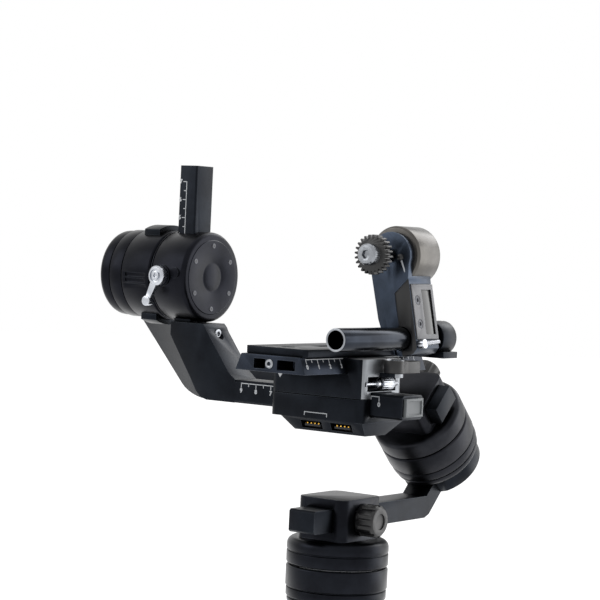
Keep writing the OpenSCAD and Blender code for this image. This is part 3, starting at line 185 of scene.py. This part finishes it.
def makeFinish(name, spec):
    material = bpy.data.materials.new(name)
    material.use_nodes = True
    tree = material.node_tree
    tree.nodes.clear()
    place = addNode(tree, "ShaderNodeTexCoord").outputs["Object"]
    cloud = addNode(tree, "ShaderNodeTexNoise", {"Vector": place, "Scale": 1 / (18 * mm), "Detail": 4.0,
                                                 "Roughness": 0.6})
    grain = addNode(tree, "ShaderNodeTexNoise", {"Vector": place, "Scale": 1 / (spec["grain"] * mm),
                                                 "Detail": 3.0, "Roughness": 0.7})
    patch = addNode(tree, "ShaderNodeMapRange", {"Value": cloud.outputs["Fac"], "From Min": 0.35,
                                                 "From Max": 0.65})
    mix = addNode(tree, "ShaderNodeMix", data_type="RGBA")
    tree.links.new(patch.outputs["Result"], mix.inputs[0])
    mix.inputs[6].default_value = linear(spec["base"])
    mix.inputs[7].default_value = linear(spec["second"])
    shade = mix.outputs[2]
    height = grain.outputs["Fac"]
    if spec.get("turned"):
        along = addNode(tree, "ShaderNodeVectorMath", {0: place, 1: spec["turned"]},
                        operation="DOT_PRODUCT")
        rings = addNode(tree, "ShaderNodeTexNoise",
                        {"W": along.outputs["Value"], "Scale": 1 / (spec["turnedPitch"] * mm),
                         "Detail": 3.0},
                        noise_dimensions="1D")
        height = addNode(tree, "ShaderNodeMath", {0: height, 1: rings.outputs["Fac"]},
                         operation="ADD").outputs["Value"]
    # a turned finish adds its rings to the grain, so its height spans a wider range
    top = 0.7 + 0.6 * bool(spec.get("turned"))
    rough = addNode(tree, "ShaderNodeMapRange", {"Value": height, "From Min": 0.3, "From Max": top,
                                                 "To Min": spec["roughness"] - spec["spread"],
                                                 "To Max": spec["roughness"] + spec["spread"]})
    if spec.get("wear"):
        # rubbed edges: where a rounded normal leaves the flat one
        rounded = addNode(tree, "ShaderNodeBevel", {"Radius": 0.45 * mm}, samples=4)
        flat = addNode(tree, "ShaderNodeNewGeometry")
        agree = addNode(tree, "ShaderNodeVectorMath",
                        {0: rounded.outputs["Normal"], 1: flat.outputs["Normal"]}, operation="DOT_PRODUCT")
        edge = addNode(tree, "ShaderNodeMapRange",
                       {"Value": agree.outputs["Value"], "From Min": 0.99, "From Max": 0.82,
                                                    "To Min": 0.0, "To Max": spec["wearAmount"]})
        rub = addNode(tree, "ShaderNodeMath", {0: edge.outputs["Result"], 1: cloud.outputs["Fac"]},
                      operation="MULTIPLY")
        worn = addNode(tree, "ShaderNodeMix", data_type="RGBA")
        tree.links.new(rub.outputs["Value"], worn.inputs[0])
        tree.links.new(shade, worn.inputs[6])
        worn.inputs[7].default_value = linear(spec["wear"])
        shade = worn.outputs[2]
    bump = addNode(tree, "ShaderNodeBump", {"Height": height, "Strength": spec["bump"],
                                            "Distance": 0.06 * mm})
    body = addNode(tree, "ShaderNodeBsdfPrincipled",
                   {"Base Color": shade, "Roughness": rough.outputs["Result"],
                                                      "Metallic": spec["metallic"],
                    "Normal": bump.outputs["Normal"]})
    out = addNode(tree, "ShaderNodeOutputMaterial")
    tree.links.new(body.outputs["BSDF"], out.inputs["Surface"])
    return material


finish = {name: makeFinish(name, spec) for name, spec in finishes.items()}


def makeLamp(name, hexText, strength):
    # small light-emitting diode behind its diffuser
    material = bpy.data.materials.new(name)
    material.use_nodes = True
    body = material.node_tree.nodes["Principled BSDF"]
    body.inputs["Base Color"].default_value = linear(hexText)
    body.inputs["Emission Color"].default_value = linear(hexText)
    body.inputs["Emission Strength"].default_value = strength
    body.inputs["Roughness"].default_value = 0.3
    return material


finish["chargeLight"] = makeLamp("chargeLight", "#8fd3ff", 1.2)
print("finishes made:", len(finish))

# Which finish each CAD node wears
wears = {
    "mouldedShell": "grip_shell head_left_shell head_right_shell tripod_hub tripod_leg_a tripod_leg_b "
                    "tripod_leg_c",
    "gripRubber": "grip_rubber joystick_cap focus_wheel usb_cover",
    "mouldedPanel": "control_panel",
    "mouldedButton": "battery_button mode_button power_button trigger",
    "smokedAcrylic": "level_window",
    "anodisedPan": "grip_collar pan_motor_can pan_motor_bell",
    "anodisedRoll": "roll_motor_can roll_motor_bell",
    "anodisedTilt": "tilt_motor_can tilt_clamp",
    "anodisedArm": "pan_arm roll_arm vertical_bar rail_bracket carriage_body port_housing riser_plate "
                   "rod_mount",
    "anodisedPlate": "dovetail_plate",
    "anodisedFocus": "focus_motor_body",
    "turnedCan": "focus_motor_can",
    "anodisedRod": "accessory_rod",
    "mouldedKnob": "pan_lock_knob roll_lock_knob plate_lock_lever",
    "greyCap": "rail_end_cap",
    "coverPlastic": "focus_motor_cover",
    "acetalGear": "focus_gear",
    "platedZinc": "tilt_lock_lever carriage_lock_wheel focus_lock_lever",
    "turnedSteel": "tripod_stud leg_pins joystick_cradle bracket_screws camera_screw plate_screws pan_rotor "
                   "roll_rotor tilt_rotor",
    "socketPlastic": "port_sockets",
    "copperWinding": "pan_stator roll_stator tilt_stator",
    "solderMask": "head_board",
    "cellWrap": "battery_cells",
}
finishOf = {node: name for name, listed in wears.items() for node in listed.split()}
bodies = frame["record"]["behaviour"]["bodies"]
bodyOfNode = {node: body for body, members in bodies.items() for node in members}
hidden = ("battery_cells head_board pan_stator roll_stator tilt_stator pan_rotor roll_rotor tilt_rotor "
          "leg_pins tripod_stud").split()
edges = {"default": 0.35, "roll_arm": 0.9, "pan_arm": 0.8, "rail_bracket": 0.6, "vertical_bar": 0.5,
         "carriage_body": 0.5,
         "port_housing": 0.5, "focus_motor_body": 0.8, "focus_gear": 0.12, "carriage_lock_wheel": 0.1,
         "joystick_cap": 0.15,
         "bracket_screws": 0.15, "plate_screws": 0.15, "level_window": 0.1, "port_sockets": 0.05,
         "mode_button": 0.25,
         "grip_collar": 0.25, "focus_wheel": 0.25, "usb_cover": 0.2, "trigger": 0.5, "rail_end_cap": 0.2}


# Parts of a node with a finish of their own, or painted light: its name, and a test on face centre c and normal n
focusAxis = Vector(jointOf["focus_motor_swing"]["pos_m"])
focusLean = math.atan2(jointOf["focus_lever_turn"]["axis"][2], jointOf["focus_lever_turn"]["axis"][0])


def onMotor(c):
    # from the frame to the leaning focus motor's own axes, with its origin on the rod
    return Matrix.Rotation(focusLean, 3, "Y") @ (c - focusAxis)


cover = dict(skin=9.12 * mm, windowLow=0.7 * mm, windowHigh=24.2 * mm, windowFront=-0.5 * mm,
             screwY=-5.0 * mm,
             screws=(6.4 * mm, 18.9 * mm), screwRadius=2.42 * mm)


def inWindow(c, n, low, high):
    p = onMotor(c)
    inHeight = cover["windowLow"] < p.z < cover["windowHigh"]
    return p.x < cover["skin"] and inHeight and p.y > cover["windowFront"]


def inScrew(c, n, low, high):
    p = onMotor(c)
    return any(math.hypot(p.z - z, p.y - cover["screwY"]) < cover["screwRadius"] for z in cover["screws"])


patches = {
    "plate_lock_lever": [("platedZinc", lambda c, n, low, high: c.z > high.z - 0.65 * mm)],
    "focus_motor_cover": [("smokedAcrylic", inWindow), ("oxideSteel", inScrew)],
    "focus_motor_body": [("mouldedKnob", lambda c, n, low, high: n.y < -0.9 and c.y > low.y + 0.3 * mm)],
    "focus_gear": [("turnedSteel", lambda c, n, low, high: c.y < low.y + 4.95 * mm)],
    "port_sockets": [("goldContact", lambda c, n, low,
                      high: c.z > low.z + 2.42 * mm and c.y < low.y + 5.3 * mm)],
    "accessory_rod": [("turnedSteel", lambda c, n, low, high: n.y < -0.9 and c.y < low.y + 1 * mm)],
    # painted light: the carriage's upper faces that face +X get a pale grey, as if the side lamp lit them
    "carriage_body": [("paintedLitFlank", lambda c, n, low,
                       high: n.x > 0.6 and c.z > low.z + 6 * mm and c.x > high.x - 14 * mm)],
}
tipReach = 9 * mm    # rubber tip of a tripod leg
for leg in ("tripod_leg_a", "tripod_leg_b", "tripod_leg_c"):
    patches[leg] = [("gripRubber", lambda c, n, low, high: c.z < low.z + tipReach)]


def settle(piece, node):
    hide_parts(node)
    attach(piece, bodyOfNode[node])


def softened(node):
    # the node's own shape with its sharp edges rounded, as machined and moulded edges are
    source = nodes[node].data
    form = bmesh.new()
    form.from_mesh(source)
    bmesh.ops.remove_doubles(form, verts=form.verts, dist=0.002 * mm)
    bmesh.ops.dissolve_limit(form, angle_limit=math.radians(0.6), verts=form.verts, edges=form.edges)
    mesh = bpy.data.meshes.new(node + "_soft")
    form.to_mesh(mesh)
    form.free()
    piece = bpy.data.objects.new(node + "_soft", mesh)
    scene.collection.objects.link(piece)
    bevel = piece.modifiers.new("round", "BEVEL")
    bevel.width = edges.get(node, edges["default"]) * mm
    bevel.segments = 2
    bevel.limit_method = "ANGLE"
    bevel.angle_limit = math.radians(38)
    bevel.miter_outer = "MITER_ARC"
    bevel.use_clamp_overlap = True
    plain = bpy.data.meshes.new_from_object(piece.evaluated_get(bpy.context.evaluated_depsgraph_get()))
    bpy.data.objects.remove(piece)
    plain.name = node + "_soft"
    plain.materials.clear()
    plain.materials.append(finish[finishOf[node]])
    low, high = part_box(node)
    for name, belongs in patches.get(node, []):
        plain.materials.append(finish[name])
        for face in plain.polygons:
            if belongs(face.center, face.normal, low, high):
                face.material_index = len(plain.materials) - 1
    plain.shade_smooth()
    plain.set_sharp_from_angle(angle=math.radians(32))
    piece = bpy.data.objects.new(node + "_soft", plain)
    scene.collection.objects.link(piece)
    return piece


pieces = {}
for node in sorted(nodes):
    if node in hidden:
        nodes[node].data.materials.clear()
        nodes[node].data.materials.append(finish[finishOf[node]])
        continue
    pieces[node] = softened(node)
    settle(pieces[node], node)
print("softened pieces:", len(pieces))


# Geometry Nodes: trees that grow what repeats, each baked into a plain mesh
def newTree(name, inputs):
    tree = bpy.data.node_groups.new(name, "GeometryNodeTree")
    for label, kind in inputs.items():
        tree.interface.new_socket(label, in_out="INPUT", socket_type="NodeSocket" + kind)
    tree.interface.new_socket("Geometry", in_out="OUTPUT", socket_type="NodeSocketGeometry")
    return tree, addNode(tree, "NodeGroupInput").outputs


def endTree(tree, parts, material=None):
    joined = addNode(tree, "GeometryNodeJoinGeometry")
    for part in parts:
        tree.links.new(part, joined.inputs["Geometry"])
    last = addNode(tree, "GeometryNodeRealizeInstances", {"Geometry": joined.outputs["Geometry"]})
    if material:
        last = addNode(tree, "GeometryNodeSetMaterial",
                       {"Geometry": last.outputs["Geometry"], "Material": material})
    addNode(tree, "NodeGroupOutput", {0: last.outputs["Geometry"]})


def makeTickTree():
    # a row of ticks along +X that hang towards -Y from a baseline; every so many is a long one
    tree, given = newTree("tickRow", {"Count": "Int", "Pitch": "Float", "Long": "Float", "Short": "Float",
                                      "Line": "Float", "Thick": "Float", "Every": "Int", "Ink": "Material"})
    step = addNode(tree, "ShaderNodeCombineXYZ", {"X": given["Pitch"]})
    row = addNode(tree, "GeometryNodeMeshLine", {"Count": given["Count"], "Offset": step.outputs["Vector"]})
    index = addNode(tree, "GeometryNodeInputIndex")
    rest = addNode(tree, "ShaderNodeMath", {0: index.outputs["Index"], 1: given["Every"]},
                   operation="MODULO")
    isShort = addNode(tree, "ShaderNodeMath", {0: rest.outputs["Value"], 1: 0.5}, operation="GREATER_THAN")
    length = addNode(tree, "ShaderNodeMapRange", {"Value": isShort.outputs["Value"],
                                                  "To Min": given["Long"],
                                                  "To Max": given["Short"]})
    half = addNode(tree, "ShaderNodeMath", {0: length.outputs["Result"], 1: -0.5}, operation="MULTIPLY")
    drop = addNode(tree, "ShaderNodeCombineXYZ", {"Y": half.outputs["Value"]})
    hung = addNode(tree, "GeometryNodeSetPosition",
                   {"Geometry": row.outputs["Mesh"], "Offset": drop.outputs["Vector"]})
    size = addNode(tree, "ShaderNodeCombineXYZ", {"X": given["Line"], "Y": length.outputs["Result"],
                                                  "Z": given["Thick"]})
    unit = addNode(tree, "GeometryNodeMeshCube", {"Size": (1, 1, 1)})
    ticks = addNode(tree, "GeometryNodeInstanceOnPoints", {"Points": hung.outputs["Geometry"],
                                                           "Instance": unit.outputs["Mesh"],
                                                           "Scale": size.outputs["Vector"]})
    gaps = addNode(tree, "ShaderNodeMath", {0: given["Count"], 1: 1.0}, operation="SUBTRACT")
    span = addNode(tree, "ShaderNodeMath", {0: gaps.outputs["Value"], 1: given["Pitch"]},
                   operation="MULTIPLY")
    full = addNode(tree, "ShaderNodeMath", {0: span.outputs["Value"], 1: given["Line"]}, operation="ADD")
    bar = addNode(tree, "ShaderNodeCombineXYZ", {"X": full.outputs["Value"], "Y": given["Line"],
                                                 "Z": given["Thick"]})
    middle = addNode(tree, "ShaderNodeMath", {0: span.outputs["Value"], 1: 0.5}, operation="MULTIPLY")
    centre = addNode(tree, "ShaderNodeCombineXYZ", {"X": middle.outputs["Value"]})
    line = addNode(tree, "GeometryNodeMeshCube", {"Size": bar.outputs["Vector"]})
    base = addNode(tree, "GeometryNodeTransform",
                   {"Geometry": line.outputs["Mesh"], "Translation": centre.outputs["Vector"]})
    endTree(tree, [ticks.outputs["Instances"], base.outputs["Geometry"]], given["Ink"])
    return tree


def makeScrewTree():
    # a socket screw's head on each point of the host, +Z out of the surface
    tree, given = newTree("screwHeads", {"Points": "Geometry", "Radius": "Float", "Height": "Float",
                                         "Steel": "Material", "Dark": "Material"})
    inner = addNode(tree, "ShaderNodeMath", {0: given["Radius"], 1: 0.88}, operation="MULTIPLY")
    key = addNode(tree, "ShaderNodeMath", {0: given["Radius"], 1: 0.5}, operation="MULTIPLY")
    head = addNode(tree, "GeometryNodeMeshCone", {"Vertices": 28, "Radius Top": inner.outputs["Value"],
                                                  "Radius Bottom": given["Radius"],
                                                  "Depth": given["Height"]})
    steel = addNode(tree, "GeometryNodeSetMaterial",
                    {"Geometry": head.outputs["Mesh"], "Material": given["Steel"]})
    proud = addNode(tree, "ShaderNodeMath", {0: given["Height"], 1: 0.02 * mm}, operation="ADD")
    socket = addNode(tree, "GeometryNodeMeshCylinder", {"Vertices": 6, "Radius": key.outputs["Value"],
                                                        "Depth": proud.outputs["Value"]})
    lift = addNode(tree, "ShaderNodeMath", {0: proud.outputs["Value"], 1: 0.5}, operation="MULTIPLY")
    up = addNode(tree, "ShaderNodeCombineXYZ", {"Z": lift.outputs["Value"]})
    raised = addNode(tree, "GeometryNodeTransform",
                     {"Geometry": socket.outputs["Mesh"], "Translation": up.outputs["Vector"]})
    dark = addNode(tree, "GeometryNodeSetMaterial",
                   {"Geometry": raised.outputs["Geometry"], "Material": given["Dark"]})
    both = addNode(tree, "GeometryNodeJoinGeometry")
    tree.links.new(steel.outputs["Geometry"], both.inputs["Geometry"])
    tree.links.new(dark.outputs["Geometry"], both.inputs["Geometry"])
    heads = addNode(tree, "GeometryNodeInstanceOnPoints",
                    {"Points": given["Points"], "Instance": both.outputs["Geometry"]})
    endTree(tree, [heads.outputs["Instances"]])
    return tree


def bake(tree, values, points=()):
    # run a tree with these inputs, and give back a plain mesh
    host = bpy.data.objects.new(tree.name, bpy.data.meshes.new(tree.name))
    host.data.from_pydata(points, [], [])
    scene.collection.objects.link(host)
    grow = host.modifiers.new("grow", "NODES")
    grow.node_group = tree
    sockets = {item.name: item.identifier for item in tree.interface.items_tree if item.in_out == "INPUT"}
    for label, value in values.items():
        grow[sockets[label]] = value
    mesh = bpy.data.meshes.new_from_object(host.evaluated_get(bpy.context.evaluated_depsgraph_get()))
    bpy.data.objects.remove(host)
    return mesh


def joinMeshes(name, parts, body):
    # one object at the origin from several placed meshes, with a material slot for each finish used
    materials = []
    form = bmesh.new()
    for mesh in parts:
        known = len(form.faces)
        form.from_mesh(mesh)
        form.faces.ensure_lookup_table()
        for face in form.faces[known:]:
            material = mesh.materials[face.material_index]
            if material not in materials:
                materials.append(material)
            face.material_index = materials.index(material)
    whole = bpy.data.meshes.new(name)
    form.to_mesh(whole)
    form.free()
    for material in materials:
        whole.materials.append(material)
    piece = bpy.data.objects.new(name, whole)
    scene.collection.objects.link(piece)
    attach(piece, body)
    return piece


def placed(mesh, origin, right, up):
    # lay a mesh drawn in XY on a surface: right and up are the drawing's own +X and +Y
    x, y = Vector(right).normalized(), Vector(up).normalized()
    turn = Matrix((x, y, x.cross(y))).transposed().to_4x4()
    mesh.transform(Matrix.Translation(Vector(origin)) @ turn)
    return mesh


def makeSign(text, height):
    curve = bpy.data.curves.new("sign", "FONT")
    curve.body = text
    curve.size = height * 1.4
    curve.extrude = ink["thick"] / 2
    curve.align_x = "CENTER"
    curve.align_y = "CENTER"
    curve.resolution_u = 3
    curve.offset = height * 0.07
    holder = bpy.data.objects.new("sign", curve)
    scene.collection.objects.link(holder)
    mesh = bpy.data.meshes.new_from_object(holder.evaluated_get(bpy.context.evaluated_depsgraph_get()))
    bpy.data.objects.remove(holder)
    mesh.materials.clear()
    mesh.materials.append(finish["printInk"])
    return mesh


def makeOutline(points, depth, material):
    # a flat plate from an outline in XY, with its own thickness
    form = bmesh.new()
    face = form.faces.new([form.verts.new((x, y, -depth / 2)) for x, y in points])
    grown = bmesh.ops.extrude_face_region(form, geom=[face])
    bmesh.ops.translate(form, verts=[v for v in grown["geom"] if isinstance(v, bmesh.types.BMVert)],
                        vec=(0, 0, depth))
    bmesh.ops.recalc_face_normals(form, faces=form.faces)
    mesh = bpy.data.meshes.new("outline")
    form.to_mesh(mesh)
    form.free()
    mesh.materials.append(material)
    return mesh


def makeTurned(profile, material, steps=40):
    # a solid of revolution about Z from (radius, height) points, closed on the axis
    form = bmesh.new()
    rings = []
    for r, z in profile:
        ring = [form.verts.new((0, 0, z))] if r == 0 else [
            form.verts.new((r * math.cos(2 * math.pi * k / steps), r * math.sin(2 * math.pi * k / steps),
                            z))
            for k in range(steps)]
        rings.append(ring)
    for low, high in zip(rings, rings[1:]):
        for k in range(steps):
            corners = [low[k % len(low)], low[(k + 1) % len(low)], high[(k + 1) % len(high)],
                       high[k % len(high)]]
            form.faces.new([v for i, v in enumerate(corners) if v not in corners[:i]])
    bmesh.ops.recalc_face_normals(form, faces=form.faces)
    mesh = bpy.data.meshes.new("turned")
    form.to_mesh(mesh)
    form.free()
    mesh.materials.append(material)
    mesh.shade_smooth()
    mesh.set_sharp_from_angle(angle=math.radians(35))
    return mesh


tickTree, screwTree = makeTickTree(), makeScrewTree()
ink = dict(thick=0.06 * mm, line=0.45 * mm, long=2.4 * mm, short=1.7 * mm, pitch=5 * mm, digit=2.3 * mm,
           digitDrop=4.1 * mm)


def makeScale(count, numbers, origin, right, up, readAlong=None):
    # a printed scale: a tick every 5 mm, and a number under every second one
    row = bake(tickTree, {"Count": count, "Pitch": ink["pitch"], "Long": ink["long"], "Short": ink["short"],
                          "Line": ink["line"], "Thick": ink["thick"], "Every": 2,
                          "Ink": finish["printInk"]})
    parts = [placed(row, origin, right, up)]
    for k, number in enumerate(numbers):
        along = Vector(right).normalized() * (2 * k * ink["pitch"])
        spot = Vector(origin) + along - Vector(up).normalized() * ink["digitDrop"]
        parts.append(placed(makeSign(str(number), ink["digit"]), spot, readAlong or right,
                            right if readAlong else up))
    return parts


def fromAxes(x, y, z):
    return Vector((x * mm, y * mm, z * mm + axisHeight))


# Printed scales and marks
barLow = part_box("vertical_bar")[0]
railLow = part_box("rail_bracket")[0]
plateLow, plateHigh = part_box("dovetail_plate")
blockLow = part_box("carriage_body")[0]
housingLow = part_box("port_housing")[0]
scales = dict(barLine=5.2 * mm, barBottom=-17.5, railBaseline=-56.0, railZero=28.1, plateStart=4 * mm,
              plateDrop=1.1 * mm,
              plateLean=22.0)
lean = math.radians(scales["plateLean"])
flankUp = (-math.sin(lean), 0, math.cos(lean))
upright = makeScale(15, range(8), (barLow.x + scales["barLine"], barLow.y,
                                   axisHeight + scales["barBottom"] * mm), (0, 0, 1), (1, 0, 0),
                    readAlong=(1, 0, 0))
# the rail is read from its free end: 0 at the right, 9 at the bend
upright += makeScale(19, range(9, -1, -1), (scales["railZero"] * mm - 18 * ink["pitch"], railLow.y,
                                            axisHeight + scales["railBaseline"] * mm), (1, 0, 0), (0, 0, 1))
joinMeshes("uprightScales", upright, "upright")
flankTop = Vector((plateHigh.x, plateLow.y + scales["plateStart"], plateLow.z)) \
    + Vector(flankUp) * ((plateHigh.z - plateLow.z) / math.cos(lean) - scales["plateDrop"])
joinMeshes("plateScale", makeScale(21, range(11), flankTop, (0, 1, 0), flankUp), "camera_plate")
marks = dict(arrowHalf=1.6 * mm, arrowTop=1.1 * mm, arrowTip=-1.4 * mm, bracketWidth=14.8 * mm,
             bracketDrop=1.6 * mm, letter=2.6 * mm)
arrow = makeOutline([(-marks["arrowHalf"], marks["arrowTop"]), (0, marks["arrowTip"]),
                     (marks["arrowHalf"], marks["arrowTop"])], ink["thick"], finish["printInk"])
line = ink["line"]
width, drop = marks["bracketWidth"], marks["bracketDrop"]
bracket = makeOutline([(0, 0), (line, 0), (line, drop), (width - line, drop), (width - line, 0), (width, 0),
                       (width, drop + line), (0, drop + line)], ink["thick"], finish["printInk"])
carriageMarks = [placed(arrow, fromAxes(-35.8, 0, -48.7) + Vector((6 * mm, blockLow.y, 0)), (1, 0, 0),
                        (0, 0, 1)),
                 placed(bracket, fromAxes(-13.1, 0, -68.6) + Vector((0, housingLow.y, 0)), (1, 0, 0),
                        (0, 0, 1))]
joinMeshes("carriageMarks", carriageMarks, "carriage")
panelLow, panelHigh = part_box("control_panel")
modeLow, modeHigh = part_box("mode_button")
modeX = (modeLow.x + modeHigh.x) / 2
joinMeshes("panelMark", [placed(makeSign("M", marks["letter"]),
                                (modeX, panelHigh.y, modeLow.z - marks["letter"]), (-1, 0, 0), (0, 0, 1))],
           "handle")
print("scales and marks printed")

# Screw heads, all from one tree
screws = dict(coverRadius=1.5 * mm, coverHeight=0.35 * mm, circle=17.5 * mm, count=6,
              panelRadius=1.1 * mm, panelHeight=0.2 * mm, panelInset=3.2 * mm)
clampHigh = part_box("tilt_clamp")[1]
ring = [(screws["circle"] * math.cos(math.radians(60 * k + 30)),
         screws["circle"] * math.sin(math.radians(60 * k + 30)), 0)
        for k in range(screws["count"])]
headValues = {"Radius": screws["coverRadius"], "Height": screws["coverHeight"],
              "Steel": finish["oxideSteel"],
              "Dark": finish["mouldedKnob"]}
# flat lid let into the clamp's inner end, with its turned step and six screws
lidProfile = [(0, 0.55), (7.0, 0.55), (7.6, 0.25), (8.4, 0.25), (9.0, 0.55), (20.4, 0.55), (21.0, 0.0),
              (21.0, -0.4), (0, -0.4)]
lid = makeTurned([(r * mm, z * mm) for r, z in lidProfile], finish["anodisedTilt"], 72)
lidFace = (clampHigh.x - 0.2 * mm, 0, axisHeight)
heads = placed(bake(screwTree, headValues, ring), (lidFace[0] + 0.55 * mm, 0, axisHeight), (0, 1, 0),
               (0, 0, 1))
joinMeshes("clampLid", [placed(lid, lidFace, (0, 1, 0), (0, 0, 1)), heads], "tilt_stage")
inset = screws["panelInset"]
corners = [(-x, z, 0) for x in (panelLow.x + inset, panelHigh.x - inset)
           for z in (panelLow.z + inset, panelHigh.z - inset)]
joinMeshes("panelScrews", [placed(bake(screwTree,
                                       dict(headValues, Radius=screws["panelRadius"],
                                            Height=screws["panelHeight"]), corners),
                                  (0, panelHigh.y, 0), (-1, 0, 0), (0, 0, 1))], "handle")

# Charge lights behind the smoked window
windowLow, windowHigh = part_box("level_window")
lights = dict(count=4, radius=0.9 * mm, pitch=4.6 * mm)
glow = []
for k in range(lights["count"]):
    bead = makeTurned([(0, 0.06 * mm), (lights["radius"], 0.04 * mm), (lights["radius"], -0.1 * mm),
                       (0, -0.1 * mm)],
                      finish["chargeLight"], 20)
    z = (windowLow.z + windowHigh.z) / 2 + (k - (lights["count"] - 1) / 2) * lights["pitch"]
    glow.append(placed(bead, ((windowLow.x + windowHigh.x) / 2, windowHigh.y, z), (-1, 0, 0), (0, 0, 1)))
joinMeshes("chargeLights", glow, "handle")

# Spring pin with a ball end on the focus motor's shoulder, and the sprung stop in the plate's nose
pin = dict(radius=0.55 * mm, length=12.5 * mm, ball=1.9 * mm,
           foot=(8.0 * mm, 6.4 * mm - 16 * mm, 29.6 * mm))


def makePin(pin):
    arcSteps = 8
    ball = [(pin["ball"] * math.sin(math.pi * k / arcSteps),
             pin["length"] - pin["ball"] * math.cos(math.pi * k / arcSteps))
            for k in range(2, arcSteps)]
    stem = makeTurned([(0, 0), (pin["radius"], 0), (pin["radius"], pin["length"] - 1.2 * mm),
                       (0, pin["length"] - 1.2 * mm)],
                      finish["turnedSteel"], 20)
    tip = makeTurned([(0, pin["length"] - pin["ball"])] + ball + [(0, pin["length"] + pin["ball"])],
                     finish["mouldedKnob"], 24)
    foot = focusAxis + Matrix.Rotation(-focusLean, 3, "Y") @ Vector(pin["foot"])
    along = Matrix.Rotation(-focusLean, 3, "Y") @ Vector((-0.10, -0.20, 1.0))
    right = Vector((1, 0, 0)).cross(along).normalized()
    return [placed(mesh, foot, right, along.cross(right)) for mesh in (stem, tip)]


joinMeshes("focusPin", makePin(pin), "focus_motor")
stopProfile = [(0, -0.5), (1.1, -0.5), (1.1, 0.5), (1.5, 0.7), (2.1, 0.7), (2.4, 0.3), (2.4, -2.0),
               (0, -2.0)]
stop = makeTurned([(r * mm, z * mm) for r, z in reversed(stopProfile)], finish["turnedSteel"], 32)
joinMeshes("plateStop", [placed(stop, fromAxes(-9.6, 0, -40.6) + Vector((0, plateLow.y, 0)), (1, 0, 0),
                                (0, 0, 1))],
           "camera_plate")
print("screws, lights and small parts made")


# Camera. It stands in front, turned so that it sees the right flank too.
shot = dict(azimuth=36.0, elevation=1.7, roll=-2.65, distance=1.055, lens=120.0, aim=(350, 286))


def addCamera(shot):
    a, e, r = (math.radians(shot[k]) for k in ("azimuth", "elevation", "roll"))
    back = Vector((math.sin(a) * math.cos(e), -math.cos(a) * math.cos(e), math.sin(e)))
    right = Vector((math.cos(a), math.sin(a), 0))
    up = right.cross(-back)
    imageRight = right * math.cos(r) - up * math.sin(r)
    imageUp = up * math.cos(r) + right * math.sin(r)
    reach = shot["lens"] / 36 * 600
    sideways = (shot["aim"][0] - 300) * shot["distance"] / reach
    upward = -(shot["aim"][1] - 300) * shot["distance"] / reach
    place = Vector((0, 0, axisHeight)) + back * shot["distance"] - imageRight * sideways - imageUp * upward
    camera = bpy.data.objects.new("camera", bpy.data.cameras.new("camera"))
    camera.data.lens = shot["lens"]
    camera.data.clip_start = 0.05
    camera.data.clip_end = 50
    turn = Matrix((imageRight, imageUp, back)).transposed().to_4x4()
    camera.matrix_world = Matrix.Translation(place) @ turn
    scene.collection.objects.link(camera)
    scene.camera = camera


addCamera(shot)

# Studio: a pale floor, a pale room and four soft lamps
studio = dict(floorRadius=8.0, floorColour="#e6e6e6", floorGlow=0.8, world=0.45,
              lamps=[("flank", (1.00, 1.25, 0.15), 1.2, 11), ("top", (-0.25, 0.1, 1.5), 1.1, 2.5),
                     ("front", (-0.95, -1.05, 0.7), 0.9, 5), ("rear", (0.15, 1.1, 0.85), 0.8, 7)])


def raySum(tree):
    path = addNode(tree, "ShaderNodeLightPath")
    seen = addNode(tree, "ShaderNodeMath", {0: path.outputs["Is Camera Ray"],
                                            1: path.outputs["Is Glossy Ray"]},
                   operation="MAXIMUM")
    through = path.outputs["Is Transmission Ray"]
    every = addNode(tree, "ShaderNodeMath", {0: seen.outputs["Value"], 1: through}, operation="MAXIMUM")
    return every.outputs["Value"]


def addStudio(studio):
    low = cadLow.z
    disc = bpy.data.meshes.new("floor")
    form = bmesh.new()
    bmesh.ops.create_circle(form, cap_ends=True, segments=96, radius=studio["floorRadius"])
    bmesh.ops.translate(form, verts=form.verts, vec=(0, 0, low))
    form.to_mesh(disc)
    form.free()
    floor = bpy.data.objects.new("floor", disc)
    scene.collection.objects.link(floor)
    material = bpy.data.materials.new("studioFloor")
    material.use_nodes = True
    tree = material.node_tree
    tree.nodes.clear()
    matt = addNode(tree, "ShaderNodeBsdfDiffuse", {"Color": linear(studio["floorColour"])})
    strength = addNode(tree, "ShaderNodeMath", {0: raySum(tree), 1: studio["floorGlow"]},
                       operation="MULTIPLY")
    glow = addNode(tree, "ShaderNodeEmission", {"Strength": strength.outputs["Value"]})
    both = addNode(tree, "ShaderNodeAddShader", {0: matt.outputs["BSDF"], 1: glow.outputs["Emission"]})
    addNode(tree, "ShaderNodeOutputMaterial", {"Surface": both.outputs["Shader"]})
    disc.materials.append(material)
    world = bpy.data.worlds.new("studioRoom")
    scene.world = world
    world.use_nodes = True
    tree = world.node_tree
    tree.nodes.clear()
    level = addNode(tree, "ShaderNodeMapRange", {"Value": raySum(tree), "To Min": studio["world"],
                                                 "To Max": 1.0})
    sky = addNode(tree, "ShaderNodeBackground", {"Strength": level.outputs["Result"]})
    sky.inputs["Color"].default_value = (1, 1, 1, 1)
    addNode(tree, "ShaderNodeOutputWorld", {"Surface": sky.outputs["Background"]})
    for name, spot, size, power in studio["lamps"]:
        lamp = bpy.data.lights.new(name, "AREA")
        lamp.shape = "SQUARE"
        lamp.size = size
        lamp.energy = power
        holder = bpy.data.objects.new(name, lamp)
        holder.location = Vector(spot) + Vector((0, 0, axisHeight))
        holder.rotation_mode = "QUATERNION"
        holder.rotation_quaternion = (Vector((-0.03, 0, axisHeight)) - holder.location).to_track_quat("-Z",
                                                                                                      "Y")
        scene.collection.objects.link(holder)


addStudio(studio)
scene.view_settings.view_transform = "Standard"
print("studio ready")
